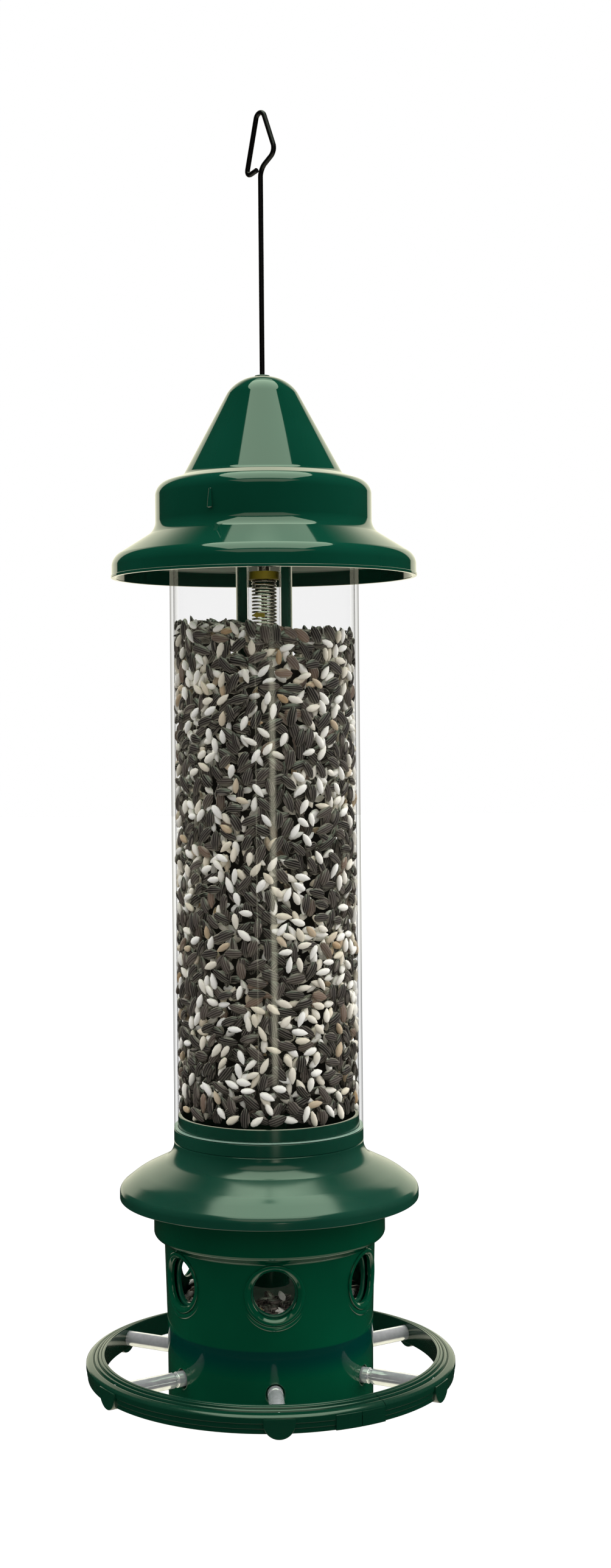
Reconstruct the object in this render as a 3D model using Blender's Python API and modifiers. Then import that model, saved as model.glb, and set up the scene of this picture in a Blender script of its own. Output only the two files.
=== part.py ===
# Squirrel proof tube feeder: a weight-closed seed feeder that hangs on a wire.
# A bird ring, six pegs and the port housing hang on a spring inside the seed tube.
# Too much weight on the ring draws the housing down, and its ports leave the seed.
# Metres, +Z up. The origin is the point of the wire loop that the hook touches.

import math

import bmesh
import bpy
import numpy
from mathutils import Matrix, Vector

# Heights named here run up from the underside of the port housing.

# Fits between pieces
FIT = 0.0003
SLIDE_FIT = 0.0005
CUT_OVERRUN = 0.002

# Facets: sides of round pieces and the widest angle of a fillet's chord
LARGE_SIDES = 32
MIDDLE_SIDES = 18
PORT_SIDES = 18
SMALL_SIDES = 10
NUT_SIDES = 6
DRAIN_SIDES = 8
WELD_DISTANCE = 0.000002
FILLET_CHORD = math.radians(24)
LEAST_CHORD = 0.0014
SHARP_ANGLE = math.radians(35)

# Hanger wire
WIRE_RISE = 0.1448
WIRE_RADIUS = 0.0014
WIRE_STEP = 0.012
LOOP_WIDTH_RIGHT = 0.0125
LOOP_WIDTH_LEFT = 0.0120
LOOP_RIGHT_DROP = 0.0232
LOOP_LEFT_DROP = 0.0326
LOOP_JOIN_DROP = 0.0305
LOOP_APEX_BEND = 0.0040
LOOP_APEX_HALF = 0.0026
LOOP_CORNER_BEND = 0.0050
LOOP_TURN = math.radians(-50)

# Seed tube
TUBE_RADIUS = 0.0512
TUBE_WALL = 0.0020
TUBE_BOTTOM = 0.1472
TUBE_TOP = 0.4817

# Lid
LID_WALL = 0.0022
LID_TOP = 0.5526
LID_DOME_RADIUS = 0.0144
LID_DOME_FILLET = 0.0181
LID_CONE_FOOT_RADIUS = 0.0435
LID_CONE_FOOT = 0.4990
LID_STEP_RADIUS = 0.0586
LID_STEP_TOP = 0.4940
LID_STEP_FILLET = 0.0076
LID_STEP_FOOT = 0.4696
LID_FOOT_FILLET = 0.0085
LID_RIM_RADIUS = 0.0824
LID_RIM_TOP = 0.4546
LID_RIM_FILLET = 0.0076
LID_RIM_BOTTOM = 0.4440
LID_BEAD = 0.0004
LID_BEAD_HEIGHT = 0.0014
POINTER_RADIUS = 0.0013
POINTER_TIP_SHARE = 0.2
POINTER_BOTTOM = 0.4771
POINTER_TOP = 0.4870
POINTER_ANGLE = math.radians(-27.8)

# Point that the hook touches, over the lid
HANG_HEIGHT = LID_TOP + WIRE_RISE

# Lid grommet
GROMMET_BORE_FIT = 0.00035
GROMMET_NECK = 0.0031
GROMMET_CAP_RADIUS = 0.0042
GROMMET_CAP_HEIGHT = 0.0006
GROMMET_FLANGE = 0.0048
GROMMET_FLANGE_HEIGHT = 0.0014

# Weather guard under the seed tube
GUARD_WALL = 0.0024
GUARD_COLLAR_RADIUS = 0.0513
GUARD_SPIGOT_TOP = 0.1510
GUARD_GROOVE_HEIGHT = 0.1402
GUARD_GROOVE = 0.00035
GUARD_FLARE_TOP = 0.1326
GUARD_FLARE_FILLET = 0.0100
GUARD_SHOULDER_RADIUS = 0.0716
GUARD_SHOULDER = 0.1228
GUARD_SHOULDER_FILLET = 0.0180
GUARD_RIM_RADIUS = 0.0808
GUARD_RIM_TOP = 0.1155
GUARD_RIM_FILLET = 0.0043
GUARD_RIM_BOTTOM = 0.1096
GUARD_LIP = 0.0021
GUARD_SKIRT_WALL = 0.0031
GUARD_SKIRT_BOTTOM = 0.1105
GUARD_LEDGE = 0.0024
GUARD_LEDGE_HEIGHT = 0.0015

# Seed funnel on the guard's ledge
FUNNEL_WALL = 0.0018
FUNNEL_BAND_HEIGHT = 0.0097
FUNNEL_THROAT_RADIUS = 0.0300
FUNNEL_THROAT_DROP = 0.0143

# Port sleeve, fixed inside the port housing
SLEEVE_RADIUS = 0.0525
SLEEVE_WALL = 0.0022
SLEEVE_PORT_RADIUS = 0.0112

# Seed tray under the sleeve
TRAY_WALL = 0.0022
TRAY_FLOOR = 0.0530
TRAY_HUB_TOP = 0.0620
TRAY_HUB_WALL = 0.0027
TRAY_FLANGE_BOTTOM = 0.0363
TRAY_FLANGE_HEIGHT = 0.0020
TRAY_SLOPE_FOOT = 0.0440

# Spring column up the middle of the tube
COLUMN_RADIUS = 0.0152
COLUMN_BORE = 0.0096
COLUMN_TOP = 0.4700
COLUMN_NECK_TOP = 0.3660
COLUMN_NECK_DROP = 0.0120
COLUMN_NECK_RADIUS = 0.0105
COLUMN_ROD_BORE = 0.0045
COLUMN_BOTTOM = 0.0300
WINDOW_BOTTOM = 0.3840
WINDOW_TOP = 0.4560
WINDOW_WIDTH = 0.0183
COLUMN_NUT_RADIUS = 0.0160
COLUMN_NUT_HEIGHT = 0.0052

# Column head, which the wire hangs from
HEAD_TOP = 0.4920
HEAD_PLATE = 0.0040
HEAD_FILLET = 0.0030
HEAD_CAVITY_RADIUS = 0.0064
HEAD_SPIGOT_DEPTH = 0.0100
PIN_RADIUS = 0.0012
PIN_HEIGHT = 0.4645
WASHER_RADIUS = 0.0052
WASHER_HEIGHT = 0.0012
HANGER_NUT_RADIUS = 0.0042
HANGER_NUT_HEIGHT = 0.0034
WIRE_END_DROP = 0.0020

# Spring, its seat and the clear sleeve round them
SPRING_TOP = 0.4426
SPRING_LENGTH = 0.0550
SPRING_WIRE = 0.0010
SPRING_MEAN_RADIUS = 0.0063
SPRING_CURLS = 28
SPRING_CURL_POINTS = 8
SEAT_RADIUS = 0.0079
SEAT_HEIGHT = 0.0012
SIGHT_WALL = 0.0010

# Plunger on the spring, and the rod that it holds up
PLUNGER_BAND = 0.0043
PLUNGER_RADIUS = 0.0079
PLUNGER_HUB_RADIUS = 0.0050
PLUNGER_HUB_DEPTH = 0.0080
ROD_RADIUS = 0.0016
ROD_HEAD_RADIUS = 0.0034
ROD_HEAD_HEIGHT = 0.0024
ROD_BOTTOM = 0.0026
ROD_NUT_RADIUS = 0.0070
ROD_NUT_HEIGHT = 0.0036

# Port housing: the sliding shroud
HOUSING_WALL = 0.0022
HOUSING_COLLAR_RADIUS = 0.0625
HOUSING_COLLAR_TOP = 0.1182
HOUSING_COLLAR_BOTTOM = 0.0904
HOUSING_COLLAR_FILLET = 0.0018
HOUSING_COVE_BOTTOM = 0.0868
HOUSING_TOP_RADIUS = 0.0569
HOUSING_WAIST_HEIGHT = 0.0410
HOUSING_WAIST_RADIUS = 0.0556
HOUSING_FOOT_RADIUS = 0.0554
HOUSING_LEDGE = 0.0032
HOUSING_LEDGE_BOTTOM = 0.0106
HOUSING_LEDGE_HEIGHT = 0.0020
EDGE_FILLET = 0.0007

# Ports, alike round the housing
PORT_COUNT = 6
PORT_TURN = math.radians(2.3)
PORT_HEIGHT = 0.0706
PORT_RADIUS = 0.0124
PORT_RIM_RADIUS = 0.0157
PORT_RIM_STAND = 0.0009
PORT_SMILE_RADIUS = 0.0189
PORT_SMILE_WIDTH = 0.0026
PORT_SMILE_STAND = 0.0007
PORT_INNER_REACH = 0.0440

# Housing floor
FLOOR_HEIGHT = 0.0025
FLOOR_HUB_RADIUS = 0.0085
FLOOR_DRAIN_RADIUS = 0.0085
FLOOR_DRAIN_REACH = 0.0300

# Perch pegs and their sockets in the housing
PEG_HEIGHT = 0.0198
PEG_RADIUS = 0.0041
PEG_STUD_RADIUS = 0.0024
PEG_STUD_START = 0.0480
PEG_START = 0.0538
PEG_COLLAR_LENGTH = 0.0056
PEG_NECK_RADIUS = 0.0034
PEG_NECK_LENGTH = 0.0014
PEG_FILLET = 0.0010
SOCKET_RADIUS = 0.0068
SOCKET_START = 0.0460
SOCKET_RECESS_RADIUS = 0.0049

# Perch ring
RING_INNER_RADIUS = 0.0898
RING_WIDTH = 0.0099
RING_OUTER_RADIUS = RING_INNER_RADIUS + RING_WIDTH
RING_INNER_TOP = 0.0264
RING_OUTER_TOP = 0.0231
RING_BOTTOM = 0.0142
RING_WALL = 0.0024
RING_GROOVE = 0.0006
RING_BEADS = 2
RING_STEPS = 2
RING_FLAT_SHARE = 0.34
RING_SKIRT_DRAFT = 0.0008
RING_SEAM_ANGLE = math.radians(35)
RING_SEAM_GAP = 0.0004
LUG_RADIUS = 0.0081
LUG_STAND = 0.0007
LUG_TOP = 0.0218
PEG_SEAT_DEPTH = 0.0060
JOINER_DROP_GAP = 0.0008
RING_BLOCK_ANGLE = math.radians(16)
RING_BLOCK_STAND = 0.0003

# Colours, roughness and metal as the pieces are finished
FINISHES = {
    "lid_green": ((0.0, 0.05, 0.035, 1), 0.12, 0),
    "guard_green": ((0.01, 0.08, 0.055, 1), 0.3, 0),
    "housing_green": ((0.0, 0.065, 0.025, 1), 0.25, 0),
    "ring_green": ((0.01, 0.07, 0.045, 1), 0.4, 0),
    "column_green": ((0.0, 0.05, 0.03, 1), 0.3, 0),
    "clear_plastic": ((0.9, 0.92, 0.92, 0.3), 0.05, 0),
    "marker_yellow": ((0.57, 0.46, 0.04, 1), 0.4, 0),
    "black_wire": ((0.02, 0.02, 0.022, 1), 0.35, 0.8),
    "spring_steel": ((0.3, 0.28, 0.27, 1), 0.3, 1),
    "chrome": ((0.85, 0.85, 0.86, 1), 0.08, 1),
    "black_rubber": ((0.02, 0.02, 0.02, 1), 0.7, 0),
}

for old in list(bpy.data.objects):
    bpy.data.objects.remove(old)

PARTS = bpy.data.collections.new("squirrel_proof_bird_feeder")
CUTTERS = bpy.data.collections.new("cutters")
bpy.context.scene.collection.children.link(PARTS)
bpy.context.scene.collection.children.link(CUTTERS)


def frame(name, parent=None, drop=0):
    """Add the empty that one moving body hangs from, on the feeder's axis."""
    empty = bpy.data.objects.new(name, None)
    empty.parent = parent
    empty.location.z = -drop
    PARTS.objects.link(empty)
    return empty


def finish(name):
    """Return the material of this name, made once from its values."""
    material = bpy.data.materials.get(name)
    if material:
        return material
    colour, roughness, metallic = FINISHES[name]
    material = bpy.data.materials.new(name)
    material.use_nodes = True
    shader = material.node_tree.nodes["Principled BSDF"]
    shader.inputs["Base Color"].default_value = colour
    shader.inputs["Roughness"].default_value = roughness
    shader.inputs["Metallic"].default_value = metallic
    shader.inputs["Alpha"].default_value = colour[3]
    return material


def rounded(corners, closed=True):
    """Return an outline's points, with short chords round each filleted corner."""
    points = []
    count = len(corners)
    for k, (place, fillet) in enumerate(corners):
        here = Vector(place)
        is_end = not closed and k in (0, count - 1)
        if fillet == 0 or is_end:
            points.append(here)
            continue
        back = Vector(corners[k - 1][0]) - here
        ahead = Vector(corners[(k + 1) % count][0]) - here
        half_opening = back.angle(ahead) / 2
        run = min(fillet / math.tan(half_opening), back.length / 2, ahead.length / 2)
        radius = run * math.tan(half_opening)
        back.normalize()
        ahead.normalize()
        centre = here + (back + ahead).normalized() * radius / math.sin(half_opening)
        first = here + back * run - centre
        last = here + ahead * run - centre
        sweep = math.pi - 2 * half_opening
        fine = min(round(sweep / FILLET_CHORD), int(radius * sweep / LEAST_CHORD))
        chords = max(1, fine)
        for j in range(chords + 1):
            share = j / chords
            spoke = first * math.sin((1 - share) * sweep) + last * math.sin(share * sweep)
            points.append(centre + spoke / math.sin(sweep))
    return points


def outline(*corners):
    """Read (radius, height) or (radius, height, fillet) corners as points in XZ."""
    placed = []
    for corner in corners:
        fillet = corner[2] if len(corner) > 2 else 0
        placed.append(((corner[0], 0, corner[1]), fillet))
    return placed


def place(mesh, name, body, finish_name):
    """Put a mesh in the part's collection under its body, shaded round."""
    mesh.shade_smooth()
    mesh.set_sharp_from_angle(angle=SHARP_ANGLE)
    mesh.materials.clear()
    mesh.materials.append(finish(finish_name))
    piece = bpy.data.objects.new(name, mesh)
    piece.parent = body
    PARTS.objects.link(piece)
    return piece


def evaluated_mesh(source):
    """Return the mesh that an object makes with its modifiers, and remove it."""
    bpy.context.view_layer.update()
    graph = bpy.context.evaluated_depsgraph_get()
    mesh = bpy.data.meshes.new_from_object(source.evaluated_get(graph))
    bpy.data.objects.remove(source)
    return mesh


def turned_mesh(name, corners, sides, angle=2 * math.pi):
    """Turn an outline, that runs down its outer side, about the axis."""
    on_axis = corners[0][0][0] == 0 and corners[-1][0][0] == 0
    points = rounded(corners, closed=not on_axis)
    whole = math.isclose(angle, 2 * math.pi)
    edges = [(k, k + 1) for k in range(len(points) - 1)]
    if not on_axis:
        edges.append((len(points) - 1, 0))
    profile = bpy.data.meshes.new(name)
    profile.from_pydata(points, edges, [])
    if not whole:
        return swept_sector(name, profile, sides, angle)
    blank = bpy.data.objects.new(name + "_outline", profile)
    PARTS.objects.link(blank)
    screw = blank.modifiers.new("turn", "SCREW")
    screw.angle = angle
    screw.steps = sides
    screw.render_steps = sides
    screw.use_merge_vertices = True
    screw.merge_threshold = WELD_DISTANCE
    mesh = evaluated_mesh(blank)
    mesh.name = name
    return mesh


def swept_sector(name, profile, sides, angle):
    """Turn a closed outline through less than a circle, and close both ends."""
    work = bmesh.new()
    work.from_mesh(profile)
    work.edges.ensure_lookup_table()
    start = bmesh.ops.contextual_create(work, geom=work.edges[:])["faces"]
    bmesh.ops.spin(
        work, geom=start, cent=(0, 0, 0), axis=(0, 0, 1), angle=angle,
        steps=sides, use_duplicate=False,
    )
    bmesh.ops.recalc_face_normals(work, faces=work.faces[:])
    mesh = bpy.data.meshes.new(name)
    work.to_mesh(mesh)
    work.free()
    bpy.data.meshes.remove(profile)
    return mesh


def turned(name, body, finish_name, *corners, sides=LARGE_SIDES):
    """Make one turned piece about the feeder's axis."""
    return place(turned_mesh(name, outline(*corners), sides), name, body, finish_name)


def ring_angles():
    """List the six azimuths of ports and pegs, the first one facing front."""
    front = -math.pi / 2 + PORT_TURN
    return [front + k * 2 * math.pi / PORT_COUNT for k in range(PORT_COUNT)]


def cutter_from(mesh, name, body):
    """Keep a mesh as a wire-drawn tool in the cutters' collection."""
    tool = bpy.data.objects.new(name, mesh)
    tool.parent = body
    tool.display_type = "WIRE"
    tool.hide_render = True
    CUTTERS.objects.link(tool)
    return tool


def radial_rods(name, body, radius, height, start, end, angles, sides=SMALL_SIDES):
    """Make a tool of round rods that lie along the given azimuths."""
    work = bmesh.new()
    for azimuth in angles:
        made = bmesh.ops.create_cone(
            work, cap_ends=True, segments=sides, radius1=radius, radius2=radius,
            depth=end - start,
        )["verts"]
        reach = (start + end) / 2
        bmesh.ops.translate(work, verts=made, vec=(0, 0, reach))
        turn_to(work, made, azimuth)
        bmesh.ops.translate(work, verts=made, vec=(0, 0, height))
    mesh = bpy.data.meshes.new(name)
    work.to_mesh(mesh)
    work.free()
    return cutter_from(mesh, name, body)


def turn_to(work, vertices, azimuth):
    """Lay vertices that stand along Z out along an azimuth instead."""
    turn = Matrix.Rotation(azimuth, 3, "Z") @ Matrix.Rotation(math.pi / 2, 3, "Y")
    bmesh.ops.rotate(work, verts=vertices, cent=(0, 0, 0), matrix=turn)


def combine(piece, tool, operation):
    """Cut, join or intersect a piece with a tool, keeping the exact solver."""
    step = piece.modifiers.new(operation.lower() + "_" + tool.name, "BOOLEAN")
    step.operation = operation
    step.object = tool
    step.solver = "EXACT"


def settle(piece):
    """Fix a cut piece's mesh, free of doubled points, shaded round again."""
    name, body = piece.name, piece.parent
    finish_name = piece.data.materials[0].name
    mesh = evaluated_mesh(piece)
    work = bmesh.new()
    work.from_mesh(mesh)
    bmesh.ops.remove_doubles(work, verts=work.verts[:], dist=WELD_DISTANCE)
    bmesh.ops.dissolve_degenerate(work, edges=work.edges[:], dist=WELD_DISTANCE)
    work.to_mesh(mesh)
    work.free()
    return place(mesh, name, body, finish_name)


def wire(name, points, radius, body, finish_name):
    """Make a round wire along points, as a closed mesh of six sides."""
    curve = bpy.data.curves.new(name, "CURVE")
    curve.dimensions = "3D"
    curve.bevel_depth = radius
    curve.bevel_resolution = 1
    curve.use_fill_caps = True
    spline = curve.splines.new("POLY")
    spline.points.add(len(points) - 1)
    for knot, point in zip(spline.points, points):
        knot.co = (*point, 1)
    blank = bpy.data.objects.new(name + "_route", curve)
    PARTS.objects.link(blank)
    mesh = evaluated_mesh(blank)
    work = bmesh.new()
    work.from_mesh(mesh)
    bmesh.ops.remove_doubles(work, verts=work.verts[:], dist=WELD_DISTANCE)
    work.to_mesh(mesh)
    work.free()
    mesh.name = name
    return place(mesh, name, body, finish_name)


def divided(points, step):
    """Add points along the straight runs of a route that are longer than a step."""
    route = [points[0]]
    for here, there in zip(points, points[1:]):
        parts = max(1, math.ceil((there - here).length / step))
        for j in range(1, parts + 1):
            route.append(here.lerp(there, j / parts))
    return route


def least_gap(points, diameter, apart):
    """Return the least clear space between stretches of one wound wire."""
    places = numpy.array([tuple(point) for point in points])
    least = math.inf
    for k in range(len(places) - apart):
        away = numpy.linalg.norm(places[k + apart:] - places[k], axis=1)
        least = min(least, away.min())
    return least - diameter


HANG_POINT = frame("hang_point")
HANGER = frame("hanger_axis", HANG_POINT, HANG_HEIGHT)
FEEDER = frame("feeder_turn_axis", HANGER)
LID_SLIDE = frame("lid_lift_axis", HANGER)
LID = frame("lid_turn_axis", LID_SLIDE)
SHROUD = frame("shroud_drop_axis", FEEDER)


def hanger_wire():
    """Bend the wire: straight through the lid, with a hand-bent triangular loop."""
    apex = HANG_HEIGHT + WIRE_RADIUS
    across = Vector((math.cos(LOOP_TURN), math.sin(LOOP_TURN), 0))
    end_gap = 2 * WIRE_RADIUS + FIT
    wire_end = HEAD_TOP - HEAD_PLATE - WASHER_HEIGHT - HANGER_NUT_HEIGHT - WIRE_END_DROP
    corners = [
        (Vector((0, 0, wire_end)), 0),
        (Vector((0, 0, apex - LOOP_JOIN_DROP)), LOOP_CORNER_BEND),
        (across * LOOP_WIDTH_RIGHT + Vector((0, 0, apex - LOOP_RIGHT_DROP)), LOOP_CORNER_BEND),
        (across * LOOP_APEX_HALF + Vector((0, 0, apex)), LOOP_APEX_BEND),
        (across * -LOOP_APEX_HALF + Vector((0, 0, apex)), LOOP_APEX_BEND),
        (across * -LOOP_WIDTH_LEFT + Vector((0, 0, apex - LOOP_LEFT_DROP)), LOOP_CORNER_BEND),
        (across * -end_gap + Vector((0, 0, apex - LOOP_JOIN_DROP)), 0),
    ]
    points = divided(rounded(corners, closed=False), WIRE_STEP)
    wire("hanger_wire", points, WIRE_RADIUS, HANGER, "black_wire")


def hanger_fasteners():
    """Trap the wire under the column head with a washer and a nut."""
    bore = WIRE_RADIUS + FIT
    top = HEAD_TOP - HEAD_PLATE - FIT
    low = top - WASHER_HEIGHT
    turned(
        "hanger_washer", HANGER, "spring_steel",
        (WASHER_RADIUS, top), (WASHER_RADIUS, low), (bore, low), (bore, top),
        sides=SMALL_SIDES,
    )
    top = low - FIT
    low = top - HANGER_NUT_HEIGHT
    turned(
        "hanger_nut", HANGER, "spring_steel",
        (HANGER_NUT_RADIUS, top), (HANGER_NUT_RADIUS, low), (bore, low), (bore, top),
        sides=NUT_SIDES,
    )


def roof():
    """Turn the lid: dome, cone, step and wide brim, one moulded wall throughout."""
    hole = GROMMET_NECK + FIT
    slope = (LID_CONE_FOOT_RADIUS - LID_DOME_RADIUS) / (LID_TOP - LID_CONE_FOOT)
    wall_across = LID_WALL * math.hypot(1, slope)
    inner_dome = LID_DOME_RADIUS + LID_WALL * slope - wall_across
    inner_step = LID_STEP_RADIUS - LID_WALL
    seat_outer = TUBE_RADIUS
    seat_inner = TUBE_RADIUS - TUBE_WALL
    seat_low = TUBE_TOP + FIT
    rim_low = LID_RIM_BOTTOM + LID_BEAD_HEIGHT
    inner_rim = LID_RIM_RADIUS - LID_WALL
    lid = turned(
        "roof", LID, "lid_green",
        (hole, LID_TOP),
        (LID_DOME_RADIUS, LID_TOP, LID_DOME_FILLET),
        (LID_CONE_FOOT_RADIUS, LID_CONE_FOOT),
        (LID_STEP_RADIUS, LID_STEP_TOP, LID_STEP_FILLET),
        (LID_STEP_RADIUS, LID_STEP_FOOT, LID_FOOT_FILLET),
        (LID_RIM_RADIUS, LID_RIM_TOP, LID_RIM_FILLET),
        (LID_RIM_RADIUS, rim_low),
        (LID_RIM_RADIUS + LID_BEAD, rim_low),
        (LID_RIM_RADIUS + LID_BEAD, LID_RIM_BOTTOM),
        (inner_rim, LID_RIM_BOTTOM),
        (inner_rim, LID_RIM_TOP - LID_WALL),
        (inner_step, LID_STEP_FOOT - LID_WALL),
        (inner_step, LID_STEP_TOP - LID_WALL, LID_WALL),
        (seat_outer, LID_STEP_TOP),
        (seat_outer, seat_low),
        (seat_inner, seat_low),
        (seat_inner, LID_STEP_TOP),
        (LID_CONE_FOOT_RADIUS - wall_across, LID_CONE_FOOT - LID_WALL / 2),
        (inner_dome, LID_TOP - LID_WALL, LID_DOME_FILLET - LID_WALL),
        (hole, LID_TOP - LID_WALL),
    )
    combine(lid, lid_pointer(), "UNION")
    settle(lid)


def lid_pointer():
    """Taper the small raised pointer on the lid's step."""
    work = bmesh.new()
    bmesh.ops.create_cone(
        work, cap_ends=True, segments=DRAIN_SIDES, radius1=POINTER_RADIUS,
        radius2=POINTER_RADIUS * POINTER_TIP_SHARE, depth=POINTER_TOP - POINTER_BOTTOM,
    )
    mesh = bpy.data.meshes.new("lid_pointer")
    work.to_mesh(mesh)
    work.free()
    tool = cutter_from(mesh, "lid_pointer", LID)
    tool.location.x = LID_STEP_RADIUS * math.sin(POINTER_ANGLE)
    tool.location.y = -LID_STEP_RADIUS * math.cos(POINTER_ANGLE)
    tool.location.z = (POINTER_TOP + POINTER_BOTTOM) / 2
    return tool


def roof_grommet():
    """Turn the rubber grommet that the lid turns on and the wire runs through."""
    bore = WIRE_RADIUS + GROMMET_BORE_FIT
    top = LID_TOP + FIT
    low = LID_TOP - LID_WALL - FIT
    turned(
        "roof_grommet", LID_SLIDE, "black_rubber",
        (bore, top + GROMMET_CAP_HEIGHT),
        (GROMMET_CAP_RADIUS, top + GROMMET_CAP_HEIGHT),
        (GROMMET_CAP_RADIUS, top),
        (GROMMET_NECK, top),
        (GROMMET_NECK, low),
        (GROMMET_FLANGE, low),
        (GROMMET_FLANGE, low - GROMMET_FLANGE_HEIGHT),
        (bore, low - GROMMET_FLANGE_HEIGHT),
        sides=SMALL_SIDES,
    )


def seed_tube():
    """Turn the clear tube that holds the seed."""
    bore = TUBE_RADIUS - TUBE_WALL
    turned(
        "seed_tube", FEEDER, "clear_plastic",
        (TUBE_RADIUS, TUBE_TOP), (TUBE_RADIUS, TUBE_BOTTOM),
        (bore, TUBE_BOTTOM), (bore, TUBE_TOP),
    )


def weather_guard():
    """Turn the guard: spigot in the tube, collar, flare, rim and inner skirt."""
    spigot = TUBE_RADIUS - TUBE_WALL - FIT
    collar_top = TUBE_BOTTOM - FIT
    skirt = SLEEVE_RADIUS - SLEEVE_WALL - FIT
    skirt_bore = skirt - GUARD_SKIRT_WALL
    brim_slope = (GUARD_SHOULDER - GUARD_RIM_TOP) / (GUARD_RIM_RADIUS - GUARD_SHOULDER_RADIUS)
    wall_down = GUARD_WALL * math.hypot(1, brim_slope)
    sleeve_seat_radius = SLEEVE_RADIUS + FIT
    lip_bore = GUARD_RIM_RADIUS - GUARD_LIP
    under_rim = GUARD_RIM_TOP + brim_slope * GUARD_LIP - wall_down
    turned(
        "weather_guard", FEEDER, "guard_green",
        (spigot, GUARD_SPIGOT_TOP),
        (spigot, collar_top),
        (GUARD_COLLAR_RADIUS, collar_top),
        (GUARD_COLLAR_RADIUS, GUARD_GROOVE_HEIGHT + GUARD_GROOVE),
        (GUARD_COLLAR_RADIUS - GUARD_GROOVE, GUARD_GROOVE_HEIGHT),
        (GUARD_COLLAR_RADIUS, GUARD_GROOVE_HEIGHT - GUARD_GROOVE),
        (GUARD_COLLAR_RADIUS, GUARD_FLARE_TOP, GUARD_FLARE_FILLET),
        (GUARD_SHOULDER_RADIUS, GUARD_SHOULDER, GUARD_SHOULDER_FILLET),
        (GUARD_RIM_RADIUS, GUARD_RIM_TOP, GUARD_RIM_FILLET),
        (GUARD_RIM_RADIUS, GUARD_RIM_BOTTOM),
        (lip_bore, GUARD_RIM_BOTTOM),
        (lip_bore, under_rim),
        (GUARD_SHOULDER_RADIUS, GUARD_SHOULDER - wall_down),
        (sleeve_seat_radius, sleeve_top() + FIT),
        (skirt, sleeve_top() + FIT),
        (skirt, GUARD_SKIRT_BOTTOM),
        (skirt_bore - GUARD_LEDGE, GUARD_SKIRT_BOTTOM),
        (skirt_bore - GUARD_LEDGE, GUARD_SKIRT_BOTTOM + GUARD_LEDGE_HEIGHT),
        (skirt_bore, GUARD_SKIRT_BOTTOM + GUARD_LEDGE_HEIGHT),
        (skirt_bore, GUARD_SPIGOT_TOP),
    )


def sleeve_top():
    """Return the height where the port sleeve meets the guard's underside."""
    slope = (GUARD_FLARE_TOP - GUARD_SHOULDER) / (GUARD_SHOULDER_RADIUS - GUARD_COLLAR_RADIUS)
    wall_down = GUARD_WALL * math.hypot(1, slope)
    over_sleeve = GUARD_FLARE_TOP - slope * (SLEEVE_RADIUS - GUARD_COLLAR_RADIUS)
    return over_sleeve - wall_down - FIT


def seed_funnel():
    """Turn the funnel that keeps the seed's weight off the ports."""
    band = SLEEVE_RADIUS - SLEEVE_WALL - FIT - GUARD_SKIRT_WALL - FIT
    seat = GUARD_SKIRT_BOTTOM + GUARD_LEDGE_HEIGHT + FIT
    top = seat + FUNNEL_BAND_HEIGHT
    cone_top = band + FIT - GUARD_LEDGE - FIT
    throat_low = seat - FUNNEL_THROAT_DROP
    slope = (cone_top - FUNNEL_THROAT_RADIUS) / FUNNEL_THROAT_DROP
    wall_up = FUNNEL_WALL * math.hypot(1, 1 / slope)
    turned(
        "seed_funnel", FEEDER, "column_green",
        (band, top),
        (band, seat),
        (cone_top, seat),
        (FUNNEL_THROAT_RADIUS, throat_low),
        (FUNNEL_THROAT_RADIUS, throat_low + wall_up),
        (band - FUNNEL_WALL, seat + wall_up),
        (band - FUNNEL_WALL, top),
        sides=MIDDLE_SIDES,
    )


def port_sleeve():
    """Turn the fixed sleeve and cut its six ports."""
    bore = SLEEVE_RADIUS - SLEEVE_WALL
    low = TRAY_FLANGE_BOTTOM + TRAY_FLANGE_HEIGHT + FIT
    sleeve = turned(
        "port_sleeve", FEEDER, "column_green",
        (SLEEVE_RADIUS, sleeve_top()), (SLEEVE_RADIUS, low), (bore, low), (bore, sleeve_top()),
    )
    holes = radial_rods(
        "sleeve_port_cutters", FEEDER, SLEEVE_PORT_RADIUS, PORT_HEIGHT,
        PORT_INNER_REACH, SLEEVE_RADIUS + CUT_OVERRUN, ring_angles(), sides=PORT_SIDES,
    )
    combine(sleeve, holes, "DIFFERENCE")
    settle(sleeve)


def seed_tray():
    """Turn the tray that closes the sleeve and sheds seed towards the ports."""
    hub_bore = COLUMN_NECK_RADIUS + FIT
    hub = hub_bore + TRAY_HUB_WALL
    plug = SLEEVE_RADIUS - SLEEVE_WALL - FIT
    flange_top = TRAY_FLANGE_BOTTOM + TRAY_FLANGE_HEIGHT
    turned(
        "seed_tray", FEEDER, "column_green",
        (hub_bore, TRAY_HUB_TOP),
        (hub, TRAY_HUB_TOP),
        (TRAY_SLOPE_FOOT, TRAY_FLOOR),
        (plug, TRAY_FLOOR),
        (plug, flange_top),
        (SLEEVE_RADIUS, flange_top),
        (SLEEVE_RADIUS, TRAY_FLANGE_BOTTOM),
        (plug - TRAY_WALL, TRAY_FLANGE_BOTTOM),
        (plug - TRAY_WALL, TRAY_FLOOR - TRAY_WALL),
        (TRAY_SLOPE_FOOT, TRAY_FLOOR - TRAY_WALL),
        (hub, TRAY_HUB_TOP - 2 * TRAY_WALL),
        (hub, TRAY_FLANGE_BOTTOM),
        (hub_bore, TRAY_FLANGE_BOTTOM),
        sides=MIDDLE_SIDES,
    )


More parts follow.
